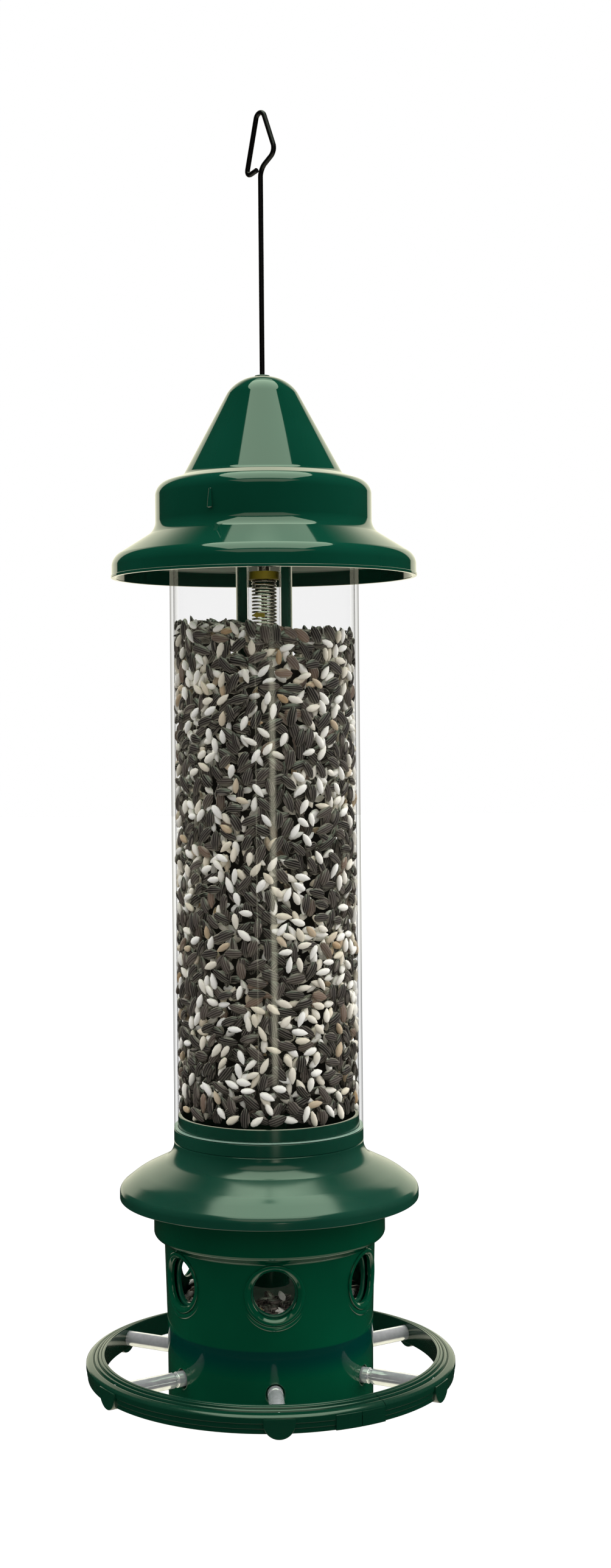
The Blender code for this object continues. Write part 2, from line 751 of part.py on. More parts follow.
def spring_column():
    """Turn the column and cut its sight window through, front to back."""
    seat_top = spring_bottom() - SEAT_HEIGHT - 2 * FIT
    column = turned(
        "spring_column", FEEDER, "column_green",
        (COLUMN_RADIUS, COLUMN_TOP),
        (COLUMN_RADIUS, COLUMN_NECK_TOP),
        (COLUMN_NECK_RADIUS, COLUMN_NECK_TOP - COLUMN_NECK_DROP),
        (COLUMN_NECK_RADIUS, COLUMN_BOTTOM),
        (COLUMN_ROD_BORE, COLUMN_BOTTOM),
        (COLUMN_ROD_BORE, seat_top),
        (COLUMN_BORE, seat_top),
        (COLUMN_BORE, COLUMN_TOP),
        sides=MIDDLE_SIDES,
    )
    work = bmesh.new()
    bmesh.ops.create_cube(work, size=1)
    size = (WINDOW_WIDTH, 2 * COLUMN_RADIUS + CUT_OVERRUN, WINDOW_TOP - WINDOW_BOTTOM)
    bmesh.ops.scale(work, verts=work.verts[:], vec=size)
    middle = (WINDOW_TOP + WINDOW_BOTTOM) / 2
    bmesh.ops.translate(work, verts=work.verts[:], vec=(0, 0, middle))
    mesh = bpy.data.meshes.new("window_cutter")
    work.to_mesh(mesh)
    work.free()
    combine(column, cutter_from(mesh, "window_cutter", FEEDER), "DIFFERENCE")
    combine(column, pin_hole(), "DIFFERENCE")
    settle(column)


def pin_hole():
    """Return the tool for the cross pin's hole through column and head."""
    return radial_rods(
        "pin_hole_cutter", FEEDER, PIN_RADIUS + FIT, PIN_HEIGHT,
        -COLUMN_RADIUS - CUT_OVERRUN, COLUMN_RADIUS + CUT_OVERRUN, [0],
    )


def column_head():
    """Turn the head that plugs the column and carries the whole feeder."""
    bore = WIRE_RADIUS + FIT
    spigot = COLUMN_BORE - FIT
    foot = COLUMN_TOP - HEAD_SPIGOT_DEPTH
    shoulder = COLUMN_TOP + FIT
    head = turned(
        "column_head", FEEDER, "column_green",
        (bore, HEAD_TOP),
        (COLUMN_RADIUS, HEAD_TOP, HEAD_FILLET),
        (COLUMN_RADIUS, shoulder),
        (spigot, shoulder),
        (spigot, foot),
        (HEAD_CAVITY_RADIUS, foot),
        (HEAD_CAVITY_RADIUS, HEAD_TOP - HEAD_PLATE),
        (bore, HEAD_TOP - HEAD_PLATE),
        sides=MIDDLE_SIDES,
    )
    combine(head, pin_hole(), "DIFFERENCE")
    settle(head)
    pin = radial_pin("head_pin", PIN_RADIUS, COLUMN_RADIUS)
    pin.location.z = PIN_HEIGHT


def radial_pin(name, radius, reach):
    """Make the cross pin that locks the head in the column."""
    pin = turned(
        name, FEEDER, "spring_steel",
        (0, reach), (radius, reach), (radius, -reach), (0, -reach),
        sides=SMALL_SIDES,
    )
    pin.rotation_euler.y = math.pi / 2
    return pin


def column_nut():
    """Turn the ribbed nut that holds the tray up on the column."""
    bore = COLUMN_NECK_RADIUS + FIT
    top = TRAY_FLANGE_BOTTOM - FIT
    low = top - COLUMN_NUT_HEIGHT
    turned(
        "column_nut", FEEDER, "column_green",
        (COLUMN_NUT_RADIUS, top), (COLUMN_NUT_RADIUS, low), (bore, low), (bore, top),
        sides=MIDDLE_SIDES,
    )


def spring_bottom():
    """Return the height of the spring's lower end."""
    return SPRING_TOP - SPRING_LENGTH


def sight_parts():
    """Turn the clear sight sleeve and the steel washer that the spring stands on."""
    low = spring_bottom() - SEAT_HEIGHT - FIT
    sleeve = COLUMN_BORE - FIT - SLIDE_FIT
    bore = sleeve - SIGHT_WALL
    top = COLUMN_TOP - HEAD_SPIGOT_DEPTH - FIT
    turned(
        "sight_sleeve", FEEDER, "clear_plastic",
        (sleeve, top), (sleeve, low), (bore, low), (bore, top),
        sides=MIDDLE_SIDES,
    )
    seat_bore = ROD_RADIUS + SLIDE_FIT
    seat_top = spring_bottom() - FIT
    turned(
        "spring_seat", FEEDER, "spring_steel",
        (min(SEAT_RADIUS, bore - FIT), seat_top), (min(SEAT_RADIUS, bore - FIT), low),
        (seat_bore, low), (seat_bore, seat_top),
        sides=SMALL_SIDES,
    )


def spring():
    """Wind the compression spring as one wire, with upright ends on its seats."""
    low = spring_bottom() + SPRING_WIRE
    high = SPRING_TOP - SPRING_WIRE
    steps = SPRING_CURLS * SPRING_CURL_POINTS
    points = [Vector((SPRING_MEAN_RADIUS, 0, spring_bottom()))]
    for k in range(steps + 1):
        turn = 2 * math.pi * k / SPRING_CURL_POINTS
        height = low + (high - low) * k / steps
        across = SPRING_MEAN_RADIUS * math.cos(turn)
        along = SPRING_MEAN_RADIUS * math.sin(turn)
        points.append(Vector((across, along, height)))
    points.append(Vector((SPRING_MEAN_RADIUS, 0, SPRING_TOP)))
    gap = least_gap(points, SPRING_WIRE, SPRING_CURL_POINTS - 1)
    print(f"spring: least gap to itself {gap:.5f} m")
    wire("spring", points, SPRING_WIRE / 2, FEEDER, "spring_steel")


def plunger_and_rod():
    """Turn the yellow plunger on the spring and the rod that it carries."""
    low = SPRING_TOP + FIT
    top = low + PLUNGER_BAND
    bore = ROD_RADIUS + FIT
    turned(
        "plunger", SHROUD, "marker_yellow",
        (bore, top),
        (PLUNGER_RADIUS - SLIDE_FIT, top),
        (PLUNGER_RADIUS - SLIDE_FIT, low),
        (PLUNGER_HUB_RADIUS, low),
        (PLUNGER_HUB_RADIUS, low - PLUNGER_HUB_DEPTH),
        (bore, low - PLUNGER_HUB_DEPTH),
        sides=MIDDLE_SIDES,
    )
    head_low = top + FIT
    turned(
        "pull_rod", SHROUD, "spring_steel",
        (0, head_low + ROD_HEAD_HEIGHT),
        (ROD_HEAD_RADIUS, head_low + ROD_HEAD_HEIGHT),
        (ROD_HEAD_RADIUS, head_low),
        (ROD_RADIUS, head_low),
        (ROD_RADIUS, ROD_BOTTOM),
        (0, ROD_BOTTOM),
        sides=SMALL_SIDES,
    )


def housing_corners(stand=0):
    """List the housing's outer corners, moved out by a stand-off."""
    return [
        (HOUSING_COLLAR_RADIUS + stand, HOUSING_COLLAR_TOP),
        (HOUSING_COLLAR_RADIUS + stand, HOUSING_COLLAR_BOTTOM, HOUSING_COLLAR_FILLET),
        (HOUSING_TOP_RADIUS + stand, HOUSING_COVE_BOTTOM),
        (HOUSING_WAIST_RADIUS + stand, HOUSING_WAIST_HEIGHT),
        (HOUSING_FOOT_RADIUS + stand, 0),
    ]


def port_housing():
    """Mould the sliding housing: shell, raised port rims, sills and peg sockets."""
    foot = HOUSING_FOOT_RADIUS - HOUSING_WALL
    waist = HOUSING_WAIST_RADIUS - HOUSING_WALL
    top = HOUSING_TOP_RADIUS - HOUSING_WALL
    collar = HOUSING_COLLAR_RADIUS - HOUSING_WALL
    ledge_top = HOUSING_LEDGE_BOTTOM + HOUSING_LEDGE_HEIGHT
    shell = turned(
        "port_housing", SHROUD, "housing_green",
        *housing_corners(),
        (foot, 0),
        (foot, HOUSING_LEDGE_BOTTOM),
        (foot - HOUSING_LEDGE, HOUSING_LEDGE_BOTTOM),
        (foot - HOUSING_LEDGE, ledge_top),
        (foot, ledge_top),
        (waist, HOUSING_WAIST_HEIGHT),
        (top, HOUSING_COVE_BOTTOM - HOUSING_WALL / 2),
        (collar, HOUSING_COLLAR_BOTTOM),
        (collar, HOUSING_COLLAR_TOP),
    )
    angles = ring_angles()
    for tool in raised_port_tools(angles):
        combine(shell, tool, "UNION")
    sockets = radial_rods(
        "socket_bosses", SHROUD, SOCKET_RADIUS, PEG_HEIGHT, SOCKET_START,
        HOUSING_FOOT_RADIUS - HOUSING_WALL / 2, angles,
    )
    combine(shell, sockets, "UNION")
    holes = radial_rods(
        "port_cutters", SHROUD, PORT_RADIUS, PORT_HEIGHT, PORT_INNER_REACH,
        HOUSING_COLLAR_RADIUS + CUT_OVERRUN, angles, sides=PORT_SIDES,
    )
    combine(shell, holes, "DIFFERENCE")
    recesses = radial_rods(
        "recess_cutters", SHROUD, SOCKET_RECESS_RADIUS, PEG_HEIGHT, PEG_START - FIT,
        HOUSING_FOOT_RADIUS + CUT_OVERRUN, angles,
    )
    combine(shell, recesses, "DIFFERENCE")
    stud_bores = radial_rods(
        "stud_cutters", SHROUD, PEG_STUD_RADIUS + FIT, PEG_HEIGHT,
        SOCKET_START - CUT_OVERRUN, PEG_START, angles,
    )
    combine(shell, stud_bores, "DIFFERENCE")
    settle(shell)


def raised_band(name, stand):
    """Turn a band that stands out from the housing's wall at the ports' height."""
    rise = PORT_SMILE_RADIUS + CUT_OVERRUN
    low = PORT_HEIGHT - rise
    high = min(PORT_HEIGHT + rise, HOUSING_COVE_BOTTOM + HOUSING_WALL)
    draft = (HOUSING_TOP_RADIUS - HOUSING_WAIST_RADIUS) / (HOUSING_COVE_BOTTOM - HOUSING_WAIST_HEIGHT)
    low_radius = HOUSING_WAIST_RADIUS + draft * (low - HOUSING_WAIST_HEIGHT)
    high_radius = HOUSING_WAIST_RADIUS + draft * (high - HOUSING_WAIST_HEIGHT)
    depth = HOUSING_WALL / 2
    corners = outline(
        (high_radius + stand, high), (low_radius + stand, low),
        (low_radius - depth, low), (high_radius - depth, high),
    )
    return cutter_from(turned_mesh(name, corners, LARGE_SIDES), name, SHROUD)


def raised_port_tools(angles):
    """Make the six rims and the six smile-shaped sills below them."""
    sides = PORT_SIDES
    rims = raised_band("port_rims", PORT_RIM_STAND)
    discs = radial_rods(
        "rim_shape", SHROUD, PORT_RIM_RADIUS, PORT_HEIGHT, PORT_INNER_REACH,
        HOUSING_COLLAR_RADIUS, angles, sides=sides,
    )
    combine(rims, discs, "INTERSECT")
    smiles = raised_band("port_smiles", PORT_SMILE_STAND)
    wide = radial_rods(
        "smile_shape", SHROUD, PORT_SMILE_RADIUS, PORT_HEIGHT, PORT_INNER_REACH,
        HOUSING_COLLAR_RADIUS, angles, sides=sides,
    )
    combine(smiles, wide, "INTERSECT")
    upper = radial_rods(
        "smile_cutters", SHROUD, PORT_SMILE_RADIUS, PORT_HEIGHT + PORT_SMILE_WIDTH,
        PORT_INNER_REACH - CUT_OVERRUN, HOUSING_COLLAR_RADIUS + CUT_OVERRUN, angles, sides=sides,
    )
    combine(smiles, upper, "DIFFERENCE")
    return [smiles, rims]


def housing_floor():
    """Turn the floor that lifts the housing, and cut its drains."""
    rim = HOUSING_FOOT_RADIUS - HOUSING_WALL - SLIDE_FIT
    bore = ROD_RADIUS + FIT
    top = HOUSING_LEDGE_BOTTOM - FIT
    low = top - FLOOR_HEIGHT
    floor = turned(
        "housing_floor", SHROUD, "column_green",
        (bore, COLUMN_BOTTOM - FIT),
        (FLOOR_HUB_RADIUS, COLUMN_BOTTOM - FIT),
        (FLOOR_HUB_RADIUS, top),
        (rim, top),
        (rim, low),
        (bore, low),
        sides=MIDDLE_SIDES,
    )
    work = bmesh.new()
    for azimuth in ring_angles():
        drain = bmesh.ops.create_cone(
            work, cap_ends=True, segments=DRAIN_SIDES, radius1=FLOOR_DRAIN_RADIUS,
            radius2=FLOOR_DRAIN_RADIUS, depth=FLOOR_HEIGHT + 2 * CUT_OVERRUN,
        )["verts"]
        across = FLOOR_DRAIN_REACH * math.cos(azimuth)
        along = FLOOR_DRAIN_REACH * math.sin(azimuth)
        bmesh.ops.translate(work, verts=drain, vec=(across, along, (top + low) / 2))
    mesh = bpy.data.meshes.new("drain_cutters")
    work.to_mesh(mesh)
    work.free()
    combine(floor, cutter_from(mesh, "drain_cutters", SHROUD), "DIFFERENCE")
    settle(floor)
    nut_top = low - FIT
    turned(
        "rod_nut", SHROUD, "spring_steel",
        (ROD_NUT_RADIUS, nut_top), (ROD_NUT_RADIUS, nut_top - ROD_NUT_HEIGHT),
        (bore, nut_top - ROD_NUT_HEIGHT), (bore, nut_top),
        sides=NUT_SIDES,
    )


def perches():
    """Turn one chrome peg and set it in each socket."""
    collar_end = PEG_START + PEG_COLLAR_LENGTH
    neck_end = collar_end + PEG_NECK_LENGTH
    end = RING_INNER_RADIUS + PEG_SEAT_DEPTH - FIT
    first = turned(
        "perch_1", SHROUD, "chrome",
        (0, end),
        (PEG_RADIUS, end),
        (PEG_RADIUS, neck_end, PEG_FILLET),
        (PEG_NECK_RADIUS, neck_end),
        (PEG_NECK_RADIUS, collar_end),
        (PEG_RADIUS, collar_end, PEG_FILLET),
        (PEG_RADIUS, PEG_START, PEG_FILLET),
        (PEG_STUD_RADIUS, PEG_START),
        (PEG_STUD_RADIUS, PEG_STUD_START),
        (0, PEG_STUD_START),
        sides=SMALL_SIDES,
    )
    for k, azimuth in enumerate(ring_angles()):
        peg = first if k == 0 else bpy.data.objects.new(f"perch_{k + 1}", first.data)
        if k:
            peg.parent = SHROUD
            PARTS.objects.link(peg)
        peg.location.z = PEG_HEIGHT
        peg.rotation_euler = (0, math.pi / 2, azimuth)


def ring_corners():
    """Draw the ring's section: grooved crown, drafted skirt, open channel below."""
    inner, outer = RING_INNER_RADIUS, RING_OUTER_RADIUS
    drop = (RING_INNER_TOP - RING_OUTER_TOP) / (outer - inner)
    flat = inner + (outer - inner) * RING_FLAT_SHARE
    bead = (outer - flat) / (RING_BEADS + 1)
    corners = [(inner, RING_INNER_TOP, EDGE_FILLET), (flat - RING_GROOVE, RING_INNER_TOP)]
    for k in range(RING_BEADS + 1):
        valley = flat + k * bead
        corners.append((valley, RING_INNER_TOP - drop * (valley - inner) - RING_GROOVE))
        ridge = valley + bead / 2
        corners.append((ridge, RING_INNER_TOP - drop * (ridge - inner)))
    corners.append((outer, RING_OUTER_TOP - RING_GROOVE))
    step_height = (RING_OUTER_TOP - RING_BOTTOM) / (RING_STEPS + 1)
    for k in range(1, RING_STEPS + 1):
        height = RING_OUTER_TOP - k * step_height
        corners.append((outer - RING_SKIRT_DRAFT * (k - 1) / RING_STEPS, height))
        corners.append((outer - RING_SKIRT_DRAFT * k / RING_STEPS, height))
    corners += [
        (outer - RING_SKIRT_DRAFT, RING_BOTTOM),
        (outer - RING_SKIRT_DRAFT - RING_WALL, RING_BOTTOM),
        (outer - RING_SKIRT_DRAFT - RING_WALL, channel_top()),
        (inner + RING_WALL, channel_top()),
        (inner + RING_WALL, RING_BOTTOM),
        (inner, RING_BOTTOM),
    ]
    return corners


def channel_top():
    """Return the height of the roof of the ring's channel."""
    return RING_OUTER_TOP - RING_WALL


def ring_halves():
    """Mould two half rings with lugs, and the joiners that bridge their seams."""
    half = math.pi - RING_SEAM_GAP / RING_OUTER_RADIUS
    for letter, turn in (("a", 0), ("b", math.pi)):
        name = f"ring_half_{letter}"
        start = -math.pi / 2 + RING_SEAM_ANGLE + turn + RING_SEAM_GAP / RING_OUTER_RADIUS / 2
        mesh = turned_mesh(name, outline(*ring_corners()), LARGE_SIDES // 2, half)
        ring = place(mesh, name, SHROUD, "ring_green")
        ring.rotation_euler.z = start
        mine = [azimuth for azimuth in ring_angles() if 0 < (azimuth - start) % (2 * math.pi) < half]
        combine(ring, lug_tool(name, mine), "UNION")
        combine(ring, block_tool(name, start, half), "UNION")
        seats = radial_rods(
            name + "_seat_cutters", SHROUD, PEG_RADIUS + FIT, PEG_HEIGHT,
            RING_INNER_RADIUS - CUT_OVERRUN, RING_INNER_RADIUS + PEG_SEAT_DEPTH, mine,
        )
        combine(ring, seats, "DIFFERENCE")
        ring = settle(ring)
        ring.rotation_euler.z = start
        ring_joiner(letter, start)


def lug_tool(name, angles):
    """Make the half-round lugs that take the pegs' ends."""
    lugs = radial_rods(
        name + "_lugs", SHROUD, LUG_RADIUS, PEG_HEIGHT,
        RING_INNER_RADIUS + LUG_STAND, RING_OUTER_RADIUS + LUG_STAND, angles, sides=2 * SMALL_SIDES,
    )
    work = bmesh.new()
    work.from_mesh(lugs.data)
    cut = bmesh.ops.bisect_plane(
        work, geom=work.verts[:] + work.edges[:] + work.faces[:],
        plane_co=(0, 0, LUG_TOP), plane_no=(0, 0, 1), clear_outer=True,
    )["geom_cut"]
    bmesh.ops.holes_fill(work, edges=[part for part in cut if isinstance(part, bmesh.types.BMEdge)])
    work.to_mesh(lugs.data)
    work.free()
    return lugs


def block_tool(name, start, half):
    """Make the smooth blocks that thicken a half ring's skirt at its two ends."""
    outer = RING_OUTER_RADIUS + RING_BLOCK_STAND
    section = outline(
        (outer, RING_OUTER_TOP - RING_GROOVE),
        (outer, RING_BOTTOM),
        (outer - RING_WALL - RING_SKIRT_DRAFT, RING_BOTTOM),
        (outer - RING_WALL - RING_SKIRT_DRAFT, RING_OUTER_TOP - RING_GROOVE),
    )
    tool = None
    for end in (start, start + half - RING_BLOCK_ANGLE / 2):
        mesh = turned_mesh(name + "_block", section, 2, RING_BLOCK_ANGLE / 2)
        block = cutter_from(mesh, name + "_block", SHROUD)
        block.rotation_euler.z = end
        if tool:
            combine(block, tool, "UNION")
        tool = block
    return tool


def ring_joiner(letter, start):
    """Make the joiner that lies in the ring's channel across one seam."""
    inner = RING_INNER_RADIUS + RING_WALL + FIT
    outer = RING_OUTER_RADIUS - RING_SKIRT_DRAFT - RING_WALL - FIT
    low = RING_BOTTOM + JOINER_DROP_GAP
    section = outline(
        (outer, channel_top() - FIT), (outer, low), (inner, low), (inner, channel_top() - FIT),
    )
    name = f"ring_joiner_{letter}"
    facet = 2 * math.pi / LARGE_SIDES
    joiner = place(turned_mesh(name, section, 2, 2 * facet), name, SHROUD, "column_green")
    joiner.rotation_euler.z = start - facet


hanger_wire()
hanger_fasteners()
roof()
roof_grommet()
seed_tube()
weather_guard()
seed_funnel()
port_sleeve()
seed_tray()
spring_column()
column_head()
column_nut()
sight_parts()
spring()
plunger_and_rod()
port_housing()
housing_floor()
perches()
ring_halves()
bpy.context.view_layer.update()
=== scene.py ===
from functools import partial
from math import atan, cos, degrees, hypot, pi, radians, sin, sqrt
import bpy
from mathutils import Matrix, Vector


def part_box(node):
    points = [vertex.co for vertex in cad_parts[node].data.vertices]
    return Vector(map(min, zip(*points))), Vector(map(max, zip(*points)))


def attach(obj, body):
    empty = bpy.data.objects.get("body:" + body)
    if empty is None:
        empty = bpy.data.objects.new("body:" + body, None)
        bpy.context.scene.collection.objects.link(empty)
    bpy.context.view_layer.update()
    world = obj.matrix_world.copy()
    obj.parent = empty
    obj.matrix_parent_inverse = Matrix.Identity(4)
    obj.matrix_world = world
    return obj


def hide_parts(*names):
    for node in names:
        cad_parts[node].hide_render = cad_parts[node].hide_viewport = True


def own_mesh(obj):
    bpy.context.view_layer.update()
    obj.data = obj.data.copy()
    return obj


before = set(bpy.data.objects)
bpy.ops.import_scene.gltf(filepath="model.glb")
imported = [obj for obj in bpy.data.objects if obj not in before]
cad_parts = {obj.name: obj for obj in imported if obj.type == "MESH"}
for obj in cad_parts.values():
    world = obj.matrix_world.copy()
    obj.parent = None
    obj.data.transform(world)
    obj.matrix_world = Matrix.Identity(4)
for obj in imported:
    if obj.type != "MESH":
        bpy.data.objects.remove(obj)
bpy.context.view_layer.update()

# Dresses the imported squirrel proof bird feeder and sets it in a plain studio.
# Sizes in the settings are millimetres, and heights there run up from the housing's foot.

from types import SimpleNamespace

import bmesh
import bpy
import numpy as np
from mathutils import Vector

mm = 0.001
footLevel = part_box("port_housing")[0].z
frontTurn = radians(2.3)      # the front port stands a little to the right
portCount = 6
portAzimuths = [-pi / 2 + frontTurn + k * 2 * pi / portCount for k in range(portCount)]
weldGap = 0.002 * mm      # points closer than this become one
scene = bpy.context.scene


def named(settings):
    # a settings dictionary whose values are read by name
    return SimpleNamespace(**settings)


def level(height):
    return footLevel + height * mm


def polar(reach, azimuth, height):
    return (reach * cos(azimuth), reach * sin(azimuth), height)


# Helpers for starting, selecting and finishing a piece

def toMode(mode):
    bpy.ops.object.mode_set(mode=mode)


def selectAll():
    bpy.ops.mesh.select_all(action="SELECT")


def only(piece):
    # makes this the one piece that is selected and active, in object mode
    if bpy.context.object and bpy.context.object.mode != "OBJECT":
        toMode("OBJECT")
    bpy.ops.object.select_all(action="DESELECT")
    piece.select_set(True)
    bpy.context.view_layer.objects.active = piece


def settle(piece):
    # fixes a piece's place, turn and scale in its mesh
    only(piece)
    bpy.ops.object.transform_apply(location=True, rotation=True, scale=True)
    return piece


def startPoint(name, place):
    # a plane merged to its middle is the single point that an outline is drawn from
    bpy.ops.mesh.primitive_plane_add(size=mm, location=place)
    piece = settle(bpy.context.object)
    piece.name = name
    toMode("EDIT")
    bpy.ops.mesh.merge(type="CENTER")
    return piece


def drawLine(points):
    for here, there in zip(points, points[1:]):
        step = Vector(there) - Vector(here)
        bpy.ops.mesh.extrude_vertices_move(TRANSFORM_OT_translate={"value": step})


def outline(name, places, closed=True):
    # left in edit mode with all of it selected
    piece = startPoint(name, places[0])
    drawLine(places + [places[0]] if closed else places)
    selectAll()
    bpy.ops.mesh.remove_doubles(threshold=weldGap)
    return piece


def selectWhere(piece, test):
    bpy.ops.mesh.select_all(action="DESELECT")
    mesh = bmesh.from_edit_mesh(piece.data)
    for vertex in mesh.verts:
        vertex.select_set(test(vertex.co))
    mesh.select_flush_mode()
    bmesh.update_edit_mesh(piece.data)


def roundCorner(piece, place, size, segments):
    selectWhere(piece, lambda point: (point - Vector(place)).length < 0.02 * mm)
    bpy.ops.mesh.bevel(
        offset=size * mm, offset_type="OFFSET", segments=segments, affect="VERTICES",
    )


def tidySurface():
    selectAll()
    bpy.ops.mesh.remove_doubles(threshold=weldGap)
    bpy.ops.mesh.normals_make_consistent(inside=False)
    toMode("OBJECT")


def smooth(piece):
    only(piece)
    bpy.ops.object.shade_smooth_by_angle(angle=radians(35))
    return piece


def turnedPiece(name, corners, steps=128, sweep=360, start=0, closed=True, base=footLevel):
    # corners are (radius, height) or (radius, height, rounding, segments), in millimetres
    places = [(corner[0] * mm, 0, base + corner[1] * mm) for corner in corners]
    piece = outline(name, places, closed)
    for corner, place in zip(corners, places):
        if len(corner) > 2:
            roundCorner(piece, place, *corner[2:])
    selectAll()
    if start:     # without a window the rotate tool turns the other way round
        bpy.ops.transform.rotate(
            value=-radians(start), orient_axis="Z", center_override=(0, 0, 0),
        )
    if sweep < 360:
        bpy.ops.mesh.edge_face_add()
        selectAll()
    bpy.ops.mesh.spin(
        steps=round(steps * sweep / 360), angle=radians(sweep),
        center=(0, 0, 0), axis=(0, 0, 1),
    )
    tidySurface()
    return smooth(piece)


def applyModifier(piece, kind, **settings):
    only(piece)
    modifier = piece.modifiers.new(kind.lower(), kind)
    for setting, value in settings.items():
        setattr(modifier, setting, value)
    bpy.ops.object.modifier_apply(modifier=modifier.name)


def cut(piece, tool, operation="DIFFERENCE"):
    applyModifier(piece, "BOOLEAN", operation=operation, solver="EXACT", object=tool)
    bpy.data.objects.remove(tool)


def fuse(piece, tool):
    cut(piece, tool, "UNION")


def joined(first, *others):
    only(first)
    for piece in others:
        piece.select_set(True)
    bpy.ops.object.join()
    return first


def copied(piece, name):
    twin = piece.copy()
    twin.data = piece.data.copy()
    twin.name = name
    scene.collection.objects.link(twin)
    return twin


def placed(piece, height=0, tilt=0, azimuth=0):
    # lays a piece that stands along Z out along an azimuth, and fixes it in its mesh
    piece.rotation_euler = (0, tilt, azimuth)
    piece.location = (0, 0, height)
    return settle(piece)


def rod(radius, near, far, height, azimuth, sides=64, rounding=0):
    # a round bar from one radius to another, along an azimuth
    bpy.ops.mesh.primitive_cylinder_add(
        vertices=sides, radius=radius * mm, depth=(far - near) * mm,
        location=(0, 0, (near + far) / 2 * mm),
    )
    piece = settle(bpy.context.object)
    if rounding:
        applyModifier(piece, "BEVEL", width=rounding * mm, segments=3, limit_method="ANGLE")
    return placed(piece, height=level(height), tilt=pi / 2, azimuth=azimuth)


def rods(radius, near, far, height, azimuths=portAzimuths, sides=64, rounding=0):
    bars = [rod(radius, near, far, height, a, sides, rounding) for a in azimuths]
    return joined(*bars)


def wrapped(piece, radius):
    # bends a piece that lies in the XZ plane, facing front, round the feeder's axis
    places = [v.co.x for v in piece.data.vertices]
    bend = (max(places) - min(places)) / (radius * mm)
    applyModifier(piece, "SIMPLE_DEFORM", deform_method="BEND", deform_axis="Z", angle=bend)
    piece.location = (0, -radius * mm, 0)
    return settle(piece)


def roundTheFeeder(piece, height):
    # copies a piece made at the front to each port's azimuth and joins them
    twins = [piece] + [copied(piece, piece.name) for k in range(1, portCount)]
    for twin, azimuth in zip(twins, portAzimuths):
        placed(twin, height=level(height), azimuth=azimuth + pi / 2)
    return joined(*twins)


def wear(piece, finish, body, slot, *nodes, inGloss=True):
    if "seedTone" not in piece.data.attributes:     # long faces stay flat in the gloss
        applyModifier(piece, "WEIGHTED_NORMAL", keep_sharp=True)
    piece.data.materials.clear()
    piece.data.materials.append(finishes[finish])
    piece.visible_glossy = inGloss     # the guard's gloss shows nothing of what stands over it
    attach(piece, body)
    if nodes:
        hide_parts(*nodes)


# Materials

def colour(code, strength=1):
    # sRGB hex to the linear colour that a shader's socket takes
    channels = [int(code[k:k + 2], 16) / 255 for k in (1, 3, 5)]
    linear = [c / 12.92 if c <= 0.04045 else ((c + 0.055) / 1.055) ** 2.4 for c in channels]
    return (*[c * strength for c in linear], 1)


def grey(value):
    return (value, value, value, 1)


def feed(material, source, output, node, socket):
    material.node_tree.links.new(source.outputs[output], node.inputs[socket])


def fill(node, sockets):
    for name, value in sockets.items():
        node.inputs[name.replace("_", " ")].default_value = value


def addNode(material, kind, links=(), settings=(), **sockets):
    # one node with its properties, its sockets' values, and its links from other nodes
    node = material.node_tree.nodes.new("ShaderNode" + kind)
    for name, value in dict(settings).items():
        setattr(node, name, value)
    fill(node, sockets)
    for source, output, target in links:
        feed(material, source, output, node, target)
    return node


def newFinish(name, **values):
    material = bpy.data.materials.new(name)
    material.use_nodes = True
    shader = material.node_tree.nodes["Principled BSDF"]
    fill(shader, values)
    return material, shader


def noise(material, size, detail):
    # noise in the object's own space, its grain about as large as the size
    where = addNode(material, "TexCoord")
    return addNode(
        material, "TexNoise", [(where, "Object", "Vector")], Scale=1 / (size * mm), Detail=detail,
    )


def maths(material, operation, *values):
    # a Math node over numbers and pairs of a node and its output
    made = addNode(material, "Math", settings={"operation": operation})
    for k, value in enumerate(values):
        if isinstance(value, tuple):
            feed(material, *value, made, k)
        else:
            made.inputs[k].default_value = value
    return (made, "Value")


def ranged(material, source, output, **limits):
    return addNode(material, "MapRange", [(source, output, "Value")], **limits)


def softStep(material, value, low, high, start=0, end=1):
    made = ranged(material, *value, From_Min=low, From_Max=high, To_Min=start, To_Max=end)
    made.interpolation_type = "SMOOTHSTEP"
    return (made, "Result")


def mixShaders(material, share, output, first, second):
    mixed = addNode(
        material, "MixShader", [(share, output, 0), (first, "BSDF", 1), (second, "BSDF", 2)],
    )
    feed(material, mixed, "Shader", material.node_tree.nodes["Material Output"], "Surface")


def ramp(material, source, output, *pairs):
    # colour ramp over a node's output, from pairs of a position and a colour
    node = addNode(material, "ValToRGB", [(source, output, "Fac")])
    stops = node.color_ramp.elements
    for k, (position, value) in enumerate(pairs):
        stop = stops[k] if k < 2 else stops.new(position)
        stop.position = position
        stop.color = value
    return node


def tint(material, shader, grain, *pairs):
    # a base colour that drifts with the noise
    feed(material, ramp(material, grain, "Fac", *pairs), "Color", shader, "Base Color")


def polish(material, shader, grain, least, most, **limits):
    # a roughness that drifts with the noise
    gloss = ranged(material, grain, "Fac", To_Min=least, To_Max=most, **limits)
    feed(material, gloss, "Result", shader, "Roughness")


def ripple(material, shader, grain, height):
    bump = addNode(material, "Bump", [(grain, "Fac", "Height")], Strength=1, Distance=height * mm)
    feed(material, bump, "Normal", shader, "Normal")


def mouldedPlastic(name, deep, pale, roughness, texture, rippleHeight):
    # ABS moulding: even colour, a soft cloudiness of the dye, and the tool's faint orange peel
    material, shader = newFinish(name, IOR=1.52)
    tint(material, shader, noise(material, 60, 3), (0.35, colour(deep)), (0.7, colour(pale)))
    grain = noise(material, texture, 2)
    polish(material, shader, grain, roughness * 0.85, roughness * 1.2)
    ripple(material, shader, grain, rippleHeight)
    return material


